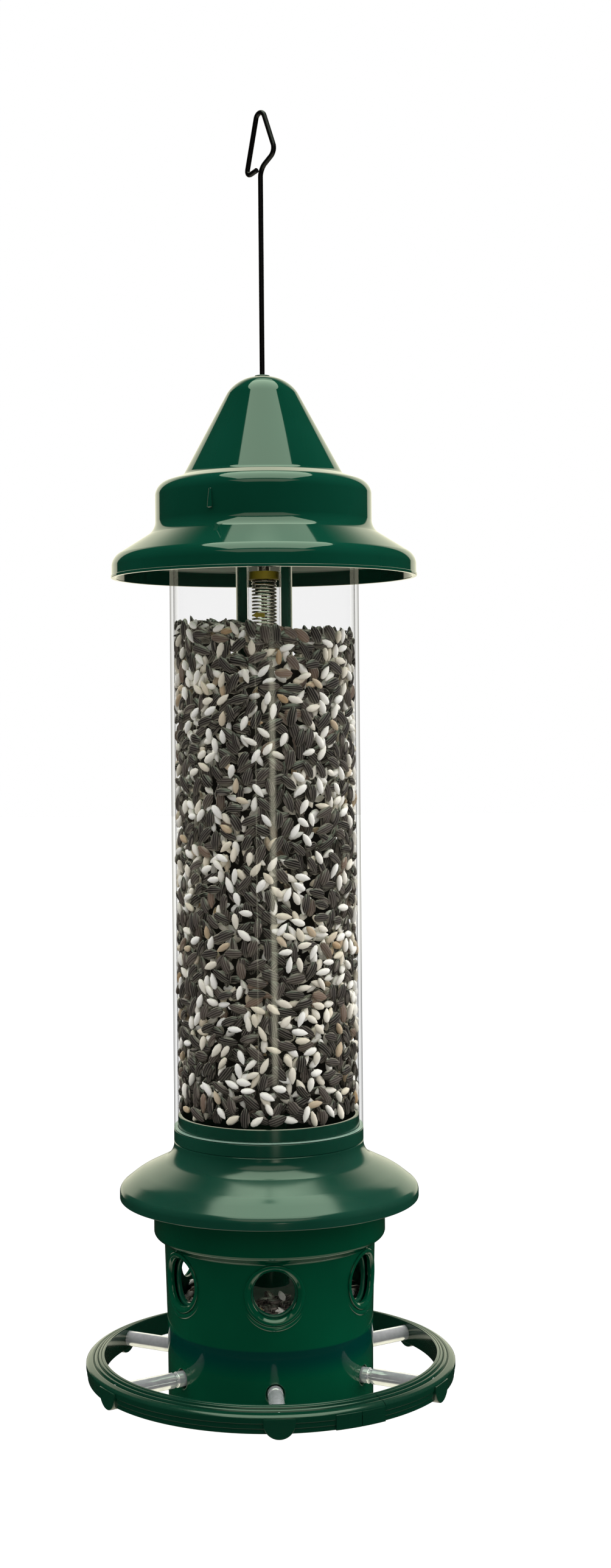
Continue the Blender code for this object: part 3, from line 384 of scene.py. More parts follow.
# shares of shine and of light let through, from the middle of the clear plastic to its edge; less
# light through at the edge is painted shade
clearSheen = ((0.0, 0.06), (0.5, 0.065), (0.78, 0.09), (0.95, 0.1))
clearPassAndEdgeShade = ((0.0, 1), (0.68, 1), (0.8, 0.84), (0.95, 0.45))


def clearPlastic(name, roughness, clearness):
    # thin clear acrylic: the gloss lies on the outer faces only, and grows to the edges,
    # where painted shade greys what is behind, in place of the refraction at the wall's edges
    material, shader = newFinish(name, Metallic=1.0, Base_Color=colour("#ffffff"))
    polish(
        material, shader, noise(material, 6, 6), roughness, roughness * 1.6,
        From_Min=0.5, From_Max=0.8,
    )
    edge = addNode(material, "LayerWeight", Blend=0.5)
    sheen = ramp(material, edge, "Facing", *[(at, grey(value)) for at, value in clearSheen])
    side = addNode(material, "NewGeometry")
    outer = ranged(material, side, "Backfacing", To_Min=1, To_Max=0)
    share = maths(material, "MULTIPLY", (sheen, "Color"), (outer, "Result"))
    pairs = [(at, grey(value * clearness)) for at, value in clearPassAndEdgeShade]
    depth = ramp(material, edge, "Facing", *pairs)
    through = addNode(material, "BsdfTransparent", [(depth, "Color", "Color")])
    mixShaders(material, *share, through, shader)
    return material


def drawnSteel(name, tone, roughness, grainWidth, metallic=1.0):
    # drawn or turned steel: fine lines along the surface break the gloss up
    material, shader = newFinish(name, Metallic=metallic)
    lines = noise(material, grainWidth, 4)
    tint(material, shader, lines, (0.3, colour(tone, 0.8)), (0.75, colour(tone)))
    polish(material, shader, lines, roughness * 0.7, roughness * 1.3)
    return material


def paintedPlastic(name, tone, roughness):
    # small coloured moulding, nearly even, with a trace of dust
    material, shader = newFinish(name, IOR=1.5, Roughness=roughness)
    tint(material, shader, noise(material, 3, 4), (0.3, colour(tone, 0.88)), (0.7, colour(tone)))
    return material


def seedHull(name, tones, edge, roughness, lineCount, lineStrength, edgeStart):
    # dry hull: each seed has its own tone, lines run along it, and its edge is paler
    material, shader = newFinish(name, IOR=1.45, Roughness=roughness)
    tone = addNode(material, "Attribute", settings={"attribute_name": "seedTone"})
    across = addNode(material, "Attribute", settings={"attribute_name": "seedAcross"})
    sine = maths(material, "SINE", maths(material, "MULTIPLY", (across, "Fac"), lineCount))
    rim = maths(material, "ABSOLUTE", (across, "Fac"))
    lines = ranged(material, *sine, From_Min=0.2, To_Max=lineStrength)
    seam = ranged(material, *rim, From_Min=edgeStart, To_Max=0.75)
    hull = ramp(material, tone, "Fac", *[(place, colour(code)) for place, code in tones])
    for share in (lines, seam):
        hull = addNode(
            material, "MixRGB", [(share, "Result", "Fac"), (hull, "Color", "Color1")],
            Color2=colour(edge),
        )
    feed(material, hull, "Color", shader, "Base Color")
    ripple(material, shader, noise(material, 0.8, 3), 0.12)
    return material


finishes = {
    "lid": mouldedPlastic("glossGreenAbs", "#053929", "#073e2e", 0.05, 12, 0.001),
    "guard": mouldedPlastic("satinGreenAbs", "#083628", "#0c3d2e", 0.17, 5, 0.002),
    "housing": mouldedPlastic("housingGreenAbs", "#003d28", "#00452d", 0.08, 9, 0.0015),
    "ring": mouldedPlastic("ringGreenPolypropylene", "#022c1d", "#043323", 0.17, 2.5, 0.003),
    "column": mouldedPlastic("columnGreenAbs", "#07432f", "#0a4c37", 0.22, 5, 0.003),
    # painted shade: the inner parts' green is darkened for the deep shade inside the ports
    "inner": mouldedPlastic("innerGreenAbsPaintedShade", "#02130c", "#031a11", 0.85, 5, 0.003),
    "tube": clearPlastic("clearAcrylicTube", 0.05, 1.0),
    "sight": clearPlastic("clearSightSleeve", 0.02, 0.97),
    # the sawn edge is frosted pale, and its colour also paints the light it catches as a highlight
    "cutEdge": paintedPlastic("sawnAcrylicEdgeAndHighlight", "#9fc0ae", 0.3),
    "yellow": paintedPlastic("yellowMarkerAcetal", "#d6bb26", 0.38),
    "wire": drawnSteel("blackenedHangerSteel", "#2b2a2c", 0.34, 1.2),
    "steel": drawnSteel("brightSpringSteel", "#b8b4b0", 0.26, 0.8),
    "zinc": drawnSteel("zincPlatedSteel", "#b9bcc0", 0.3, 1.0),
    "chrome": drawnSteel("brightPlatedPeg", "#f8f9fa", 0.08, 3, 0.64),
    "sunflower": seedHull(
        "blackSunflowerHull",
        [(0.0, "#14110f"), (0.55, "#2b2624"), (0.93, "#463d37"), (1.0, "#7a6352")],
        "#a79d92", 0.40, 15, 0.36, 0.76,
    ),
    "safflower": seedHull(
        "whiteSafflowerHull",
        [(0.0, "#a8875e"), (0.12, "#e2d8c2"), (0.5, "#f3efe4"), (1.0, "#faf8f2")],
        "#e6dcc6", 0.32, 5, 0.10, 0.97,
    ),
}
print("materials made")


def madeRound(line, radius, resolution):
    # a drawn line becomes a curve with a round section and closed ends
    toMode("OBJECT")
    bpy.ops.object.convert(target="CURVE")
    line.data.bevel_depth = radius * mm
    line.data.bevel_resolution = resolution
    line.data.use_fill_caps = True


# Hanger wire, bent by hand into a triangular loop

wireShape = {
    "thickness": 2.8, "lowEnd": 479.0, "apex": 697.4, "loopTurn": -50,
    "right": 12.5, "left": 12.0, "rightDrop": 23.2, "leftDrop": 32.6, "joinDrop": 30.5,
    "apexHalf": 2.6, "apexBend": 2.4, "cornerBend": 4.2, "endGap": 3.1,
}


def hangerWire():
    s = named(wireShape)
    turn = radians(s.loopTurn)
    top = s.apex - s.thickness / 2
    corners = [
        (0, s.lowEnd, 0), (0, top - s.joinDrop, s.cornerBend),
        (s.right, top - s.rightDrop, s.cornerBend), (s.apexHalf, top, s.apexBend),
        (-s.apexHalf, top, s.apexBend), (-s.left, top - s.leftDrop, s.cornerBend),
        (-s.endGap, top - s.joinDrop, 0),
    ]
    places = [polar(across * mm, turn, level(height)) for across, height, bend in corners]
    wire = startPoint("hangerWire", places[0])
    drawLine(places)
    for place, (across, height, bend) in zip(places, corners):
        if bend:
            roundCorner(wire, place, bend, 8)
    madeRound(wire, s.thickness / 2, 4)
    bpy.ops.object.convert(target="MESH")
    smooth(wire)
    wear(wire, "wire", "hanger", "black_wire", "hanger_wire", inGloss=False)


# Lid: dome, cone, step and wide brim in one moulding, with a small raised pointer

lidShape = {
    "wall": 2.2, "hole": 3.4, "top": 552.6, "domeRadius": 14.4, "domeRun": 10.8,
    "coneFootRadius": 43.5, "coneFoot": 499.0, "coneRun": 1.6,
    "stepRadius": 58.6, "stepTop": 494.0, "stepRun": 5.5, "stepFoot": 469.6, "footRun": 4.7,
    "rimRadius": 82.4, "rimTop": 454.6, "rimRun": 4.2, "rimBottom": 444.0,
    "bead": 0.4, "beadHeight": 1.4, "tubeSeat": 51.2, "tubeWall": 2.0, "seatLow": 482.0,
    "pointerAngle": -27.8, "pointerBottom": 477.1, "pointerTop": 487.0, "pointerWidth": 2.8,
    "pointerDepth": 3.6, "pointerTaper": (0.45, 0.55, 1),
}


def lid():
    s = named(lidShape)
    wall, hole = s.wall, s.hole
    slope = (s.coneFootRadius - s.domeRadius) / (s.top - s.coneFoot)
    across = wall * hypot(1, slope)
    innerDome = s.domeRadius + wall * slope - across
    innerStep = s.stepRadius - wall
    innerRim = s.rimRadius - wall
    seatIn = s.tubeSeat - s.tubeWall
    beadFoot = s.rimBottom + s.beadHeight
    shell = turnedPiece("lidShell", [
        (hole, s.top, 0.5, 3), (s.domeRadius, s.top, s.domeRun, 14),
        (s.coneFootRadius, s.coneFoot, s.coneRun, 6), (s.stepRadius, s.stepTop, s.stepRun, 12),
        (s.stepRadius, s.stepFoot, s.footRun, 10), (s.rimRadius, s.rimTop, s.rimRun, 12),
        (s.rimRadius, beadFoot, 0.15, 2), (s.rimRadius + s.bead, beadFoot, 0.25, 3),
        (s.rimRadius + s.bead, s.rimBottom, 0.3, 3), (innerRim, s.rimBottom, 0.4, 3),
        (innerRim, s.rimTop - wall, 1.2, 4), (innerStep, s.stepFoot - wall, 1.2, 4),
        (innerStep, s.stepTop - wall, 2.0, 5), (s.tubeSeat, s.stepTop - wall),
        (s.tubeSeat, s.seatLow, 0.3, 2), (seatIn, s.seatLow, 0.3, 2),
        (seatIn, s.stepTop - wall), (s.coneFootRadius - across, s.coneFoot - wall / 2, 1.0, 3),
        (innerDome, s.top - wall, 6.0, 8), (hole, s.top - wall),
    ], steps=192)
    wear(shell, "lid", "lid", "lid_green", "roof", inGloss=False)


def pointer():
    s = named(lidShape)
    bpy.ops.mesh.primitive_cube_add(size=1)
    tongue = bpy.context.object
    tongue.name = "lidPointer"
    tongue.scale = (s.pointerWidth * mm, s.pointerDepth * mm, (s.pointerTop - s.pointerBottom) * mm)
    settle(tongue)
    toMode("EDIT")
    selectWhere(tongue, lambda point: point.z > 0)
    bpy.ops.transform.resize(value=s.pointerTaper, center_override=(0, 0, 0))
    selectAll()
    bpy.ops.mesh.bevel(offset=0.35 * mm, segments=3, affect="EDGES")
    toMode("OBJECT")
    azimuth = -pi / 2 + radians(s.pointerAngle)
    tongue.rotation_euler.z = azimuth + pi / 2
    reach = (s.stepRadius - 0.3) * mm
    height = (s.pointerBottom + s.pointerTop) / 2
    tongue.location = polar(reach, azimuth, level(height))
    smooth(settle(tongue))
    wear(tongue, "lid", "lid", "lid_green")


grommetShape = {
    "bore": 1.75, "neck": 3.1, "cap": 4.2, "capHeight": 0.6, "flange": 4.8, "flangeHeight": 1.4,
    "gap": 0.3,
}


def grommet():
    s = named(grommetShape)
    top = lidShape["top"] + s.gap
    low = lidShape["top"] - lidShape["wall"] - s.gap
    piece = turnedPiece("lidGrommet", [
        (s.bore, top + s.capHeight, 0.2, 2), (s.cap, top + s.capHeight, 0.4, 4), (s.cap, top),
        (s.neck, top), (s.neck, low), (s.flange, low), (s.flange, low - s.flangeHeight, 0.6, 4),
        (s.bore, low - s.flangeHeight),
    ], steps=64)
    wear(piece, "lid", "lid_carrier", "black_rubber", "roof_grommet", inGloss=False)


# Clear seed tube

tubeShape = {"radius": 51.2, "wall": 2.0, "bottom": 147.2, "cutEdge": 0.5, "top": 481.7}


def clearTube():
    s = named(tubeShape)
    bore = s.radius - s.wall
    foot = s.bottom + s.cutEdge
    piece = turnedPiece("clearTube", [
        (s.radius, s.top, 0.4, 3), (s.radius, foot), (bore, foot), (bore, s.top, 0.4, 3),
    ], steps=192)
    wear(piece, "tube", "feeder", "clear_plastic", "seed_tube", inGloss=False)
    # a pale ring at the tube's sawn foot: frosted, with a painted highlight in its colour
    edge = turnedPiece("tubeCutEdge", [
        (s.radius, foot - 0.02), (s.radius, s.bottom, 0.3, 3), (bore, s.bottom, 0.3, 3),
        (bore, foot - 0.02),
    ], steps=192)
    wear(edge, "cutEdge", "feeder", "clear_plastic")


# Weather guard under the tube

guardShape = {
    "wall": 2.4, "spigot": 48.9, "spigotTop": 154.2, "collarTop": 146.9, "collarRadius": 51.3,
    "groove": 140.2, "grooveDepth": 0.45, "flareTop": 132.6, "flareRun": 6.3,
    "shoulderRadius": 71.6, "shoulder": 122.8, "shoulderRun": 3.6,
    "rimRadius": 80.8, "rimTop": 115.5, "rimRun": 2.1, "rimBottom": 109.6, "lip": 2.1,
    "sleeveSeat": 52.8, "skirt": 50.0, "skirtBore": 46.9, "skirtBottom": 110.5, "ledge": 44.5,
    "ledgeTop": 112.0,
}


def weatherGuard():
    s = named(guardShape)
    flareSlope = (s.flareTop - s.shoulder) / (s.shoulderRadius - s.collarRadius)
    brimSlope = (s.shoulder - s.rimTop) / (s.rimRadius - s.shoulderRadius)
    under = s.wall * hypot(1, brimSlope)
    lipBore = s.rimRadius - s.lip
    fall = flareSlope * (s.sleeveSeat - s.collarRadius)
    seat = s.flareTop - fall - s.wall * hypot(1, flareSlope)
    piece = turnedPiece("weatherGuard", [
        (s.spigot, s.spigotTop, 0.5, 3), (s.spigot, s.collarTop),
        (s.collarRadius, s.collarTop, 0.35, 3), (s.collarRadius, s.groove + 0.3, 0.1, 2),
        (s.collarRadius - s.grooveDepth, s.groove),
        (s.collarRadius, s.groove - s.grooveDepth, 0.12, 2),
        (s.collarRadius, s.flareTop, s.flareRun, 14),
        (s.shoulderRadius, s.shoulder, s.shoulderRun, 10),
        (s.rimRadius, s.rimTop, s.rimRun, 10), (s.rimRadius, s.rimBottom, 0.6, 3),
        (lipBore, s.rimBottom, 0.5, 3), (lipBore, s.rimTop + brimSlope * s.lip - under, 0.6, 3),
        (s.shoulderRadius, s.shoulder - under), (s.sleeveSeat, seat), (s.skirt, seat),
        (s.skirt, s.skirtBottom, 0.3, 2), (s.ledge, s.skirtBottom), (s.ledge, s.ledgeTop),
        (s.skirtBore, s.ledgeTop), (s.skirtBore, s.spigotTop, 0.5, 3),
    ], steps=192)
    wear(piece, "guard", "feeder", "guard_green", "weather_guard")


# Spring column with its sight window, clear inner sleeve, spring, yellow band and arrow

columnShape = {
    "radius": 15.2, "bore": 9.6, "top": 470.0, "neckTop": 366.0, "neckDrop": 12.0,
    "neckRadius": 10.5, "rodBore": 4.5, "seatTop": 385.8, "bottom": 30.0,
    "windowLow": 384.0, "windowHigh": 456.0, "windowWidth": 18.3,
    "sleeve": 8.8, "sleeveWall": 0.3, "sleeveLow": 386.1, "sleeveTop": 459.7,
    "springLow": 387.6, "springTop": 442.6, "springRadius": 6.3, "springWire": 1.15, "turns": 28,
    "bandLow": 442.9, "bandTop": 447.2, "band": 8.4, "hub": 5.0, "hubDrop": 8.0, "rodHole": 1.9,
}


def springColumn():
    s = named(columnShape)
    column = turnedPiece("springColumn", [
        (s.radius, s.top, 0.4, 2), (s.radius, s.neckTop, 0.8, 3),
        (s.neckRadius, s.neckTop - s.neckDrop, 0.8, 3), (s.neckRadius, s.bottom, 0.4, 2),
        (s.rodBore, s.bottom), (s.rodBore, s.seatTop), (s.bore, s.seatTop), (s.bore, s.top),
    ], steps=96)
    middle = (s.windowLow + s.windowHigh) / 2
    bpy.ops.mesh.primitive_cube_add(size=1, location=(0, 0, level(middle)))
    window = bpy.context.object
    window.scale = (s.windowWidth * mm, 3 * s.radius * mm, (s.windowHigh - s.windowLow) * mm)
    cut(column, settle(window))
    applyModifier(
        column, "BEVEL", width=0.35 * mm, segments=2, limit_method="ANGLE",
        angle_limit=radians(50),
    )
    smooth(column)
    wear(column, "column", "feeder", "column_green", "spring_column", inGloss=False)


def sightSleeve():
    s = named(columnShape)
    bore = s.sleeve - s.sleeveWall
    piece = turnedPiece("sightSleeve", [
        (s.sleeve, s.sleeveTop, 0.15, 2), (s.sleeve, s.sleeveLow, 0.15, 2), (bore, s.sleeveLow),
        (bore, s.sleeveTop),
    ], steps=96)
    wear(piece, "sight", "feeder", "clear_plastic", "sight_sleeve")


def coilSpring():
    s = named(columnShape)
    half = s.springWire / 2
    bpy.ops.mesh.primitive_circle_add(
        vertices=10, radius=half * mm, rotation=(pi / 2, 0, 0),
        location=(s.springRadius * mm, 0, level(s.springLow + 2 * half)),
    )
    coil = settle(bpy.context.object)
    coil.name = "coilSpring"
    rise = (s.springTop - s.springLow - 4 * half) / s.turns
    applyModifier(
        coil, "SCREW", angle=-2 * pi, iterations=s.turns, screw_offset=rise * mm,
        steps=28, render_steps=28,
    )
    toMode("EDIT")
    bpy.ops.mesh.select_all(action="DESELECT")
    bpy.ops.mesh.select_non_manifold()
    bpy.ops.mesh.fill()
    tidySurface()
    inner, outer, thin = s.springRadius - half, s.springRadius + half, half - 0.05
    for height in (s.springLow + half, s.springTop - half):
        coil = joined(coil, turnedPiece("coilEnd", [
            (outer, height + thin, 0.3, 3), (outer, height - thin, 0.3, 3),
            (inner, height - thin, 0.3, 3), (inner, height + thin, 0.3, 3),
        ], steps=48))
    smooth(coil)
    wear(coil, "steel", "feeder", "spring_steel", "spring")
    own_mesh(coil)


def yellowBand():
    s = named(columnShape)
    piece = turnedPiece("yellowBand", [
        (s.rodHole, s.bandTop), (s.band, s.bandTop, 0.3, 3), (s.band, s.bandLow, 0.3, 3),
        (s.rodHole, s.bandLow),
    ], steps=96)
    wear(piece, "yellow", "shroud", "marker_yellow", "plunger")
    hub = turnedPiece("bandHub", [
        (s.rodHole, s.bandLow - 0.05), (s.hub, s.bandLow - 0.05),
        (s.hub, s.bandLow - s.hubDrop, 0.4, 3), (s.rodHole, s.bandLow - s.hubDrop),
    ], steps=64)
    wear(hub, "column", "shroud", "column_green")


arrowShape = {
    "height": 423.3, "tip": -6.5, "tail": 0.3, "head": 2.9, "headHalf": 1.9, "shaftHalf": 1.1,
    "thick": 0.2,
}


def arrowMark():
    s = named(arrowShape)
    neck = s.tip + s.head
    places = [(across * mm, 0, up * mm) for across, up in (
        (s.tip, 0), (neck, -s.headHalf), (neck, -s.shaftHalf), (s.tail, -s.shaftHalf),
        (s.tail, s.shaftHalf), (neck, s.shaftHalf), (neck, s.headHalf),
    )]
    arrow = outline("arrowMark", places)
    bpy.ops.mesh.edge_face_add()
    thickness = (0, -s.thick * mm, 0)
    bpy.ops.mesh.extrude_region_move(TRANSFORM_OT_translate={"value": thickness})
    tidySurface()
    arrow.location = (0, -(columnShape["sleeve"] + 0.05) * mm, level(s.height))
    smooth(settle(arrow))
    wear(arrow, "yellow", "feeder", "marker_yellow")


# Fixed port sleeve inside the sliding housing

sleeveShape = {
    "radius": 52.5, "wall": 2.2, "top": 129.06, "low": 38.6, "port": 11.2, "lip": 12.6,
    "height": 70.6,
}


def portSleeve():
    s = named(sleeveShape)
    bore = s.radius - s.wall
    sleeve = turnedPiece("portSleeve", [
        (s.radius, s.top, 0.2, 2), (s.radius, s.low, 0.2, 2), (bore, s.low, 0.2, 2),
        (bore, s.top, 0.2, 2),
    ], steps=180)
    cut(sleeve, rods(s.lip - 0.5, 44, 60, s.height))
    lips = roundTheFeeder(bentRing([
        (s.port, 0.12, 0.9, 5), (s.lip, 0.12, 0.2, 2), (s.lip, -s.wall - 0.1),
        (s.port, -s.wall - 0.1, 0.4, 3),
    ], s.radius), s.height)
    fuse(sleeve, lips)
    smooth(sleeve)
    wear(sleeve, "column", "feeder", "inner_green", "port_sleeve")


def bentRing(corners, radius, tilt=0):
    # a turned ring that is laid on the wall's curve; its corners are (radius, stand, ...)
    ring = turnedPiece("bentRing", corners, steps=72, base=0)
    ring.rotation_euler = (pi / 2 + tilt, 0, 0)
    return wrapped(settle(ring), radius)


# Sliding port housing: rimmed ports, smile-shaped sills and recessed peg sockets

housingShape = {
    "wall": 2.2, "collarRadius": 62.5, "collarTop": 118.2, "collarBottom": 90.4, "collarRun": 1.5,
    "topRadius": 56.9, "coveBottom": 86.8, "waist": 41.0, "waistRadius": 55.6, "footRadius": 55.4,
    "ledge": 50.0, "ledgeBottom": 10.6, "ledgeTop": 12.6, "portHeight": 70.6, "portRadius": 12.4,
    "lipRadius": 14.1, "rimRadius": 15.8, "rimStand": 0.9,
    "smileRadius": 17.4, "smileHalf": 1.35, "smileStand": 0.7, "smileSweep": 68, "smileSteps": 28,
    "pegHeight": 19.8, "recess": 4.9, "recessLip": 5.8, "recessStart": 53.5, "boss": 6.8,
    "bossStart": 46.0, "studBore": 2.7,
    # the band under the waist is painted shade in the housing's colour
    "bandLow": 25.0, "bandSoft": 37.0, "bandHigh": 41.4, "bandEdge": 0.6, "bandTone": "#01302a",
}


def smileSill():
    # a soft raised moulding under the port, thinning out towards its two tips
    s = named(housingShape)
    shares = [2 * k / s.smileSteps - 1 for k in range(s.smileSteps + 1)]
    angles = [radians(s.smileSweep) * share - pi / 2 for share in shares]
    points = [
        (s.smileRadius * mm * cos(angle), 0, s.smileRadius * mm * sin(angle))
        for angle in angles
    ]
    sill = startPoint("smileSill", points[0])
    drawLine(points)
    madeRound(sill, s.smileHalf, 5)
    for share, knot in zip(shares, sill.data.splines[0].points):
        knot.radius = max(0.06, cos(pi / 2 * share) ** 0.6)
    bpy.ops.object.convert(target="MESH")
    sill.scale = (1, s.smileStand / s.smileHalf, 1)
    return wrapped(settle(sill), s.topRadius - 0.9)


def shadedBand(material):
    # painted shade: the housing's colour is a tone darker in a band just under its waist
    s = named(housingShape)
    shader = material.node_tree.nodes["Principled BSDF"]
    plain = shader.inputs["Base Color"].links[0].from_node
    where = addNode(material, "TexCoord")
    axes = addNode(material, "SeparateXYZ", [(where, "Object", "Vector")])
    edge = s.bandEdge
    low, high = [
        softStep(material, (axes, "Z"), level(outside), level(inside))
        for outside, inside in ((s.bandLow, s.bandSoft), (s.bandHigh + edge, s.bandHigh - edge))
    ]
    band = maths(material, "MULTIPLY", low, high)
    shaded = addNode(
        material, "MixRGB", [(*band, "Fac"), (plain, "Color", "Color1")],
        Color2=colour(s.bandTone),
    )
    feed(material, shaded, "Color", shader, "Base Color")


def portHousing():
    s = named(housingShape)
    wall = s.wall
    shell = turnedPiece("portHousing", [
        (s.collarRadius, s.collarTop, 0.5, 3), (s.collarRadius, s.collarBottom, s.collarRun, 7),
        (s.topRadius, s.coveBottom, 0.8, 4), (s.waistRadius, s.waist, 2.0, 3),
        (s.footRadius, 0, 0.6, 3), (s.footRadius - wall, 0),
        (s.footRadius - wall, s.ledgeBottom), (s.ledge, s.ledgeBottom), (s.ledge, s.ledgeTop),
        (s.footRadius - wall, s.ledgeTop), (s.waistRadius - wall, s.waist),
        (s.topRadius - wall, s.coveBottom - wall / 2, 1.0, 4),
        (s.collarRadius - wall, s.collarBottom, 1.0, 4), (s.collarRadius - wall, s.collarTop),
    ], steps=240)
    cut(shell, rods(s.lipRadius + 0.6, 48, 70, s.portHeight))
    portWall = s.waistRadius + (s.topRadius - s.waistRadius) * (
        (s.portHeight - s.waist) / (s.coveBottom - s.waist))
    draft = atan((s.topRadius - s.waistRadius) / (s.coveBottom - s.waist))
    rims = roundTheFeeder(bentRing([
        (s.portRadius, -0.5, 0.5, 3), (s.lipRadius, s.rimStand, 0.35, 3),
        (s.rimRadius, s.rimStand, 0.5, 4), (s.rimRadius, -wall + 0.3),
        (s.lipRadius, -wall - 0.2), (s.portRadius, -wall - 0.2, 0.4, 3),
    ], portWall, draft), s.portHeight)
    sills = roundTheFeeder(smileSill(), s.portHeight)
    fuse(shell, joined(rims, sills))
    fuse(shell, rods(s.boss, s.bossStart, s.footRadius - wall / 2, s.pegHeight))
    cut(shell, rods(s.recess + 0.3, s.recessStart, 60, s.pegHeight))
    lips = roundTheFeeder(bentRing([
        (s.recess, 0.2, 0.5, 4), (s.recessLip, 0.2, 0.35, 3), (s.recessLip, -1.2), (s.recess, -1.2),
    ], s.footRadius), s.pegHeight)
    fuse(shell, lips)
    cut(shell, rods(s.studBore, 40, s.recessStart + 0.3, s.pegHeight, sides=24))
    smooth(shell)
    # paints the shade band into the housing's colour
    shadedBand(finishes["housing"])
    wear(shell, "housing", "shroud", "housing_green", "port_housing")


# Drained floor that lifts the housing

floorShape = {
    "rim": 52.7, "top": 10.3, "low": 7.8, "hubTop": 29.7, "hub": 8.5, "bore": 1.9, "drain": 8.5,
    "drainReach": 30.0,
}


def housingFloor():
    s = named(floorShape)
    disc = turnedPiece("housingFloor", [
        (s.bore, s.hubTop, 0.3, 2), (s.hub, s.hubTop, 0.4, 3), (s.hub, s.top, 0.8, 4),
        (s.rim, s.top, 0.4, 2), (s.rim, s.low, 0.4, 2), (s.bore, s.low, 0.3, 2),
    ], steps=120)
    drains = []
    for azimuth in portAzimuths:
        bpy.ops.mesh.primitive_cylinder_add(
            vertices=48, radius=s.drain * mm, depth=12 * mm,
            location=polar(s.drainReach * mm, azimuth, level(s.top)),
        )
        drains.append(bpy.context.object)
    cut(disc, joined(*drains))
    smooth(disc)
    wear(disc, "column", "shroud", "inner_green", "housing_floor")


# Perch pegs, turned and chromed

pegShape = {
    "radius": 4.1, "stud": 2.4, "studStart": 48.0, "start": 53.8, "collar": 5.6,
    "neckRadius": 3.4, "neck": 1.4, "end": 95.5, "height": 19.8,
}


def perchPegs():
    s = named(pegShape)
    collarEnd = s.start + s.collar
    neckEnd = collarEnd + s.neck
    first = turnedPiece("perchPeg1", [
        (0, s.end), (s.radius, s.end, 0.4, 3), (s.radius, neckEnd, 0.6, 4),
        (s.neckRadius, neckEnd, 0.2, 2), (s.neckRadius, collarEnd, 0.2, 2),
        (s.radius, collarEnd, 0.6, 5), (s.radius, s.start, 0.8, 5), (s.stud, s.start),
        (s.stud, s.studStart), (0, s.studStart),
    ], steps=48, closed=False, base=0)
    pegs = [first] + [copied(first, f"perchPeg{k + 1}") for k in range(1, portCount)]
    for k, (peg, azimuth) in enumerate(zip(pegs, portAzimuths)):
        placed(peg, height=level(s.height), tilt=pi / 2, azimuth=azimuth)
        wear(peg, "chrome", "shroud", "chrome", f"perch_{k + 1}")


# Perch ring in two halves: beaded crown, ribbed skirt, half-round lugs, smooth end blocks

ringShape = {
    "inner": 89.8, "outer": 99.7, "innerTop": 26.4, "outerTop": 23.1, "bottom": 14.2, "wall": 2.4,
    "channelTop": 20.7, "line": 91.5, "lineDepth": 0.5, "valley": 93.2, "valleyDepth": 1.1,
    "secondValley": 95.5, "skirtDraft": 0.8, "seam": 35, "seamGap": 0.4,
    "lug": 8.1, "lugStand": 0.7, "lugTop": 21.8, "lugHeight": 19.8, "seatDepth": 6.0,
    "block": 8, "blockStand": 0.3,
}


def ringHalf(letter, turn):
    s = named(ringShape)
    inner, outer = s.inner, s.outer
    drop = (s.innerTop - s.outerTop) / (outer - inner)

    def crown(radius, sink=0):
        return s.innerTop - drop * (radius - inner) - sink

    line, valley, second = s.line, s.valley, s.secondValley
    edge = s.outerTop - 0.9
    step = (edge - s.bottom) / 3
    skirt = outer - s.skirtDraft
    skirtBack, channel = skirt - s.wall, inner + s.wall
    half = 180 - degrees(s.seamGap / outer)
    start = -90 + s.seam + turn + degrees(s.seamGap / outer / 2)
    corners = [
        (inner, s.innerTop, 0.8, 4), (line - 0.35, crown(line, 0.05), 0.15, 2),
        (line, crown(line, s.lineDepth)), (line + 0.35, crown(line, 0.05), 0.15, 2),
        (valley - 0.45, crown(valley - 0.45), 0.3, 3),
        (valley, crown(valley, s.valleyDepth), 0.1, 2),
        (valley + 0.6, crown(valley + 0.6, 0.02), 0.55, 4),
        (second - 0.6, crown(second - 0.6, -0.02), 0.55, 4),
        (second, crown(second, s.valleyDepth), 0.1, 2),
        (second + 0.8, crown(second + 0.8, -0.15), 0.7, 4),
        (outer - 0.6, crown(outer, -0.1), 0.9, 6), (outer, edge, 0.3, 2),
        (outer, edge - step, 0.12, 2), (outer - s.skirtDraft / 2, edge - 0.15 - step),
        (outer - s.skirtDraft / 2, edge - 2 * step, 0.12, 2), (skirt, edge - 0.15 - 2 * step),
        (skirt, s.bottom, 0.3, 3), (skirtBack, s.bottom, 0.3, 2), (skirtBack, s.channelTop),
        (channel, s.channelTop), (channel, s.bottom, 0.3, 2), (inner, s.bottom, 0.3, 3),
    ]
    ring = turnedPiece(f"ringHalf{letter}", corners, steps=240, sweep=half, start=start)
    face, back = outer + s.blockStand, skirtBack + 0.3
    high, low = s.outerTop - 1.2, s.bottom + 0.02
    blocks = [
        turnedPiece("block", [
            (face, high, 0.3, 3), (face, low, 0.3, 3), (back, low), (back, high),
        ], steps=240, sweep=s.block, start=end)
        for end in (start, start + half - s.block)
    ]
    mine = [a for a in portAzimuths if 0 < (degrees(a) - start) % 360 < half]
    near, far = inner + s.lugStand, outer + s.lugStand
    lugs = rods(s.lug, near, far, s.lugHeight, mine, 48, 0.4)
    only(lugs)
    toMode("EDIT")
    selectAll()
    bpy.ops.mesh.bisect(
        plane_co=(0, 0, level(s.lugTop)), plane_no=(0, 0, 1), clear_outer=True, use_fill=True,
    )
    toMode("OBJECT")
    for tool in (*blocks, lugs):
        fuse(ring, tool)
    seat = pegShape["radius"] + 0.3
    seats = rods(seat, inner - 2, inner + s.seatDepth, s.lugHeight, mine, 48)
    cut(ring, seats)
    smooth(ring)
    wear(ring, "ring", "shroud", "ring_green", f"ring_half_{letter.lower()}")


# Seed filling: sunflower and safflower in the tube, and a small heap at the ports

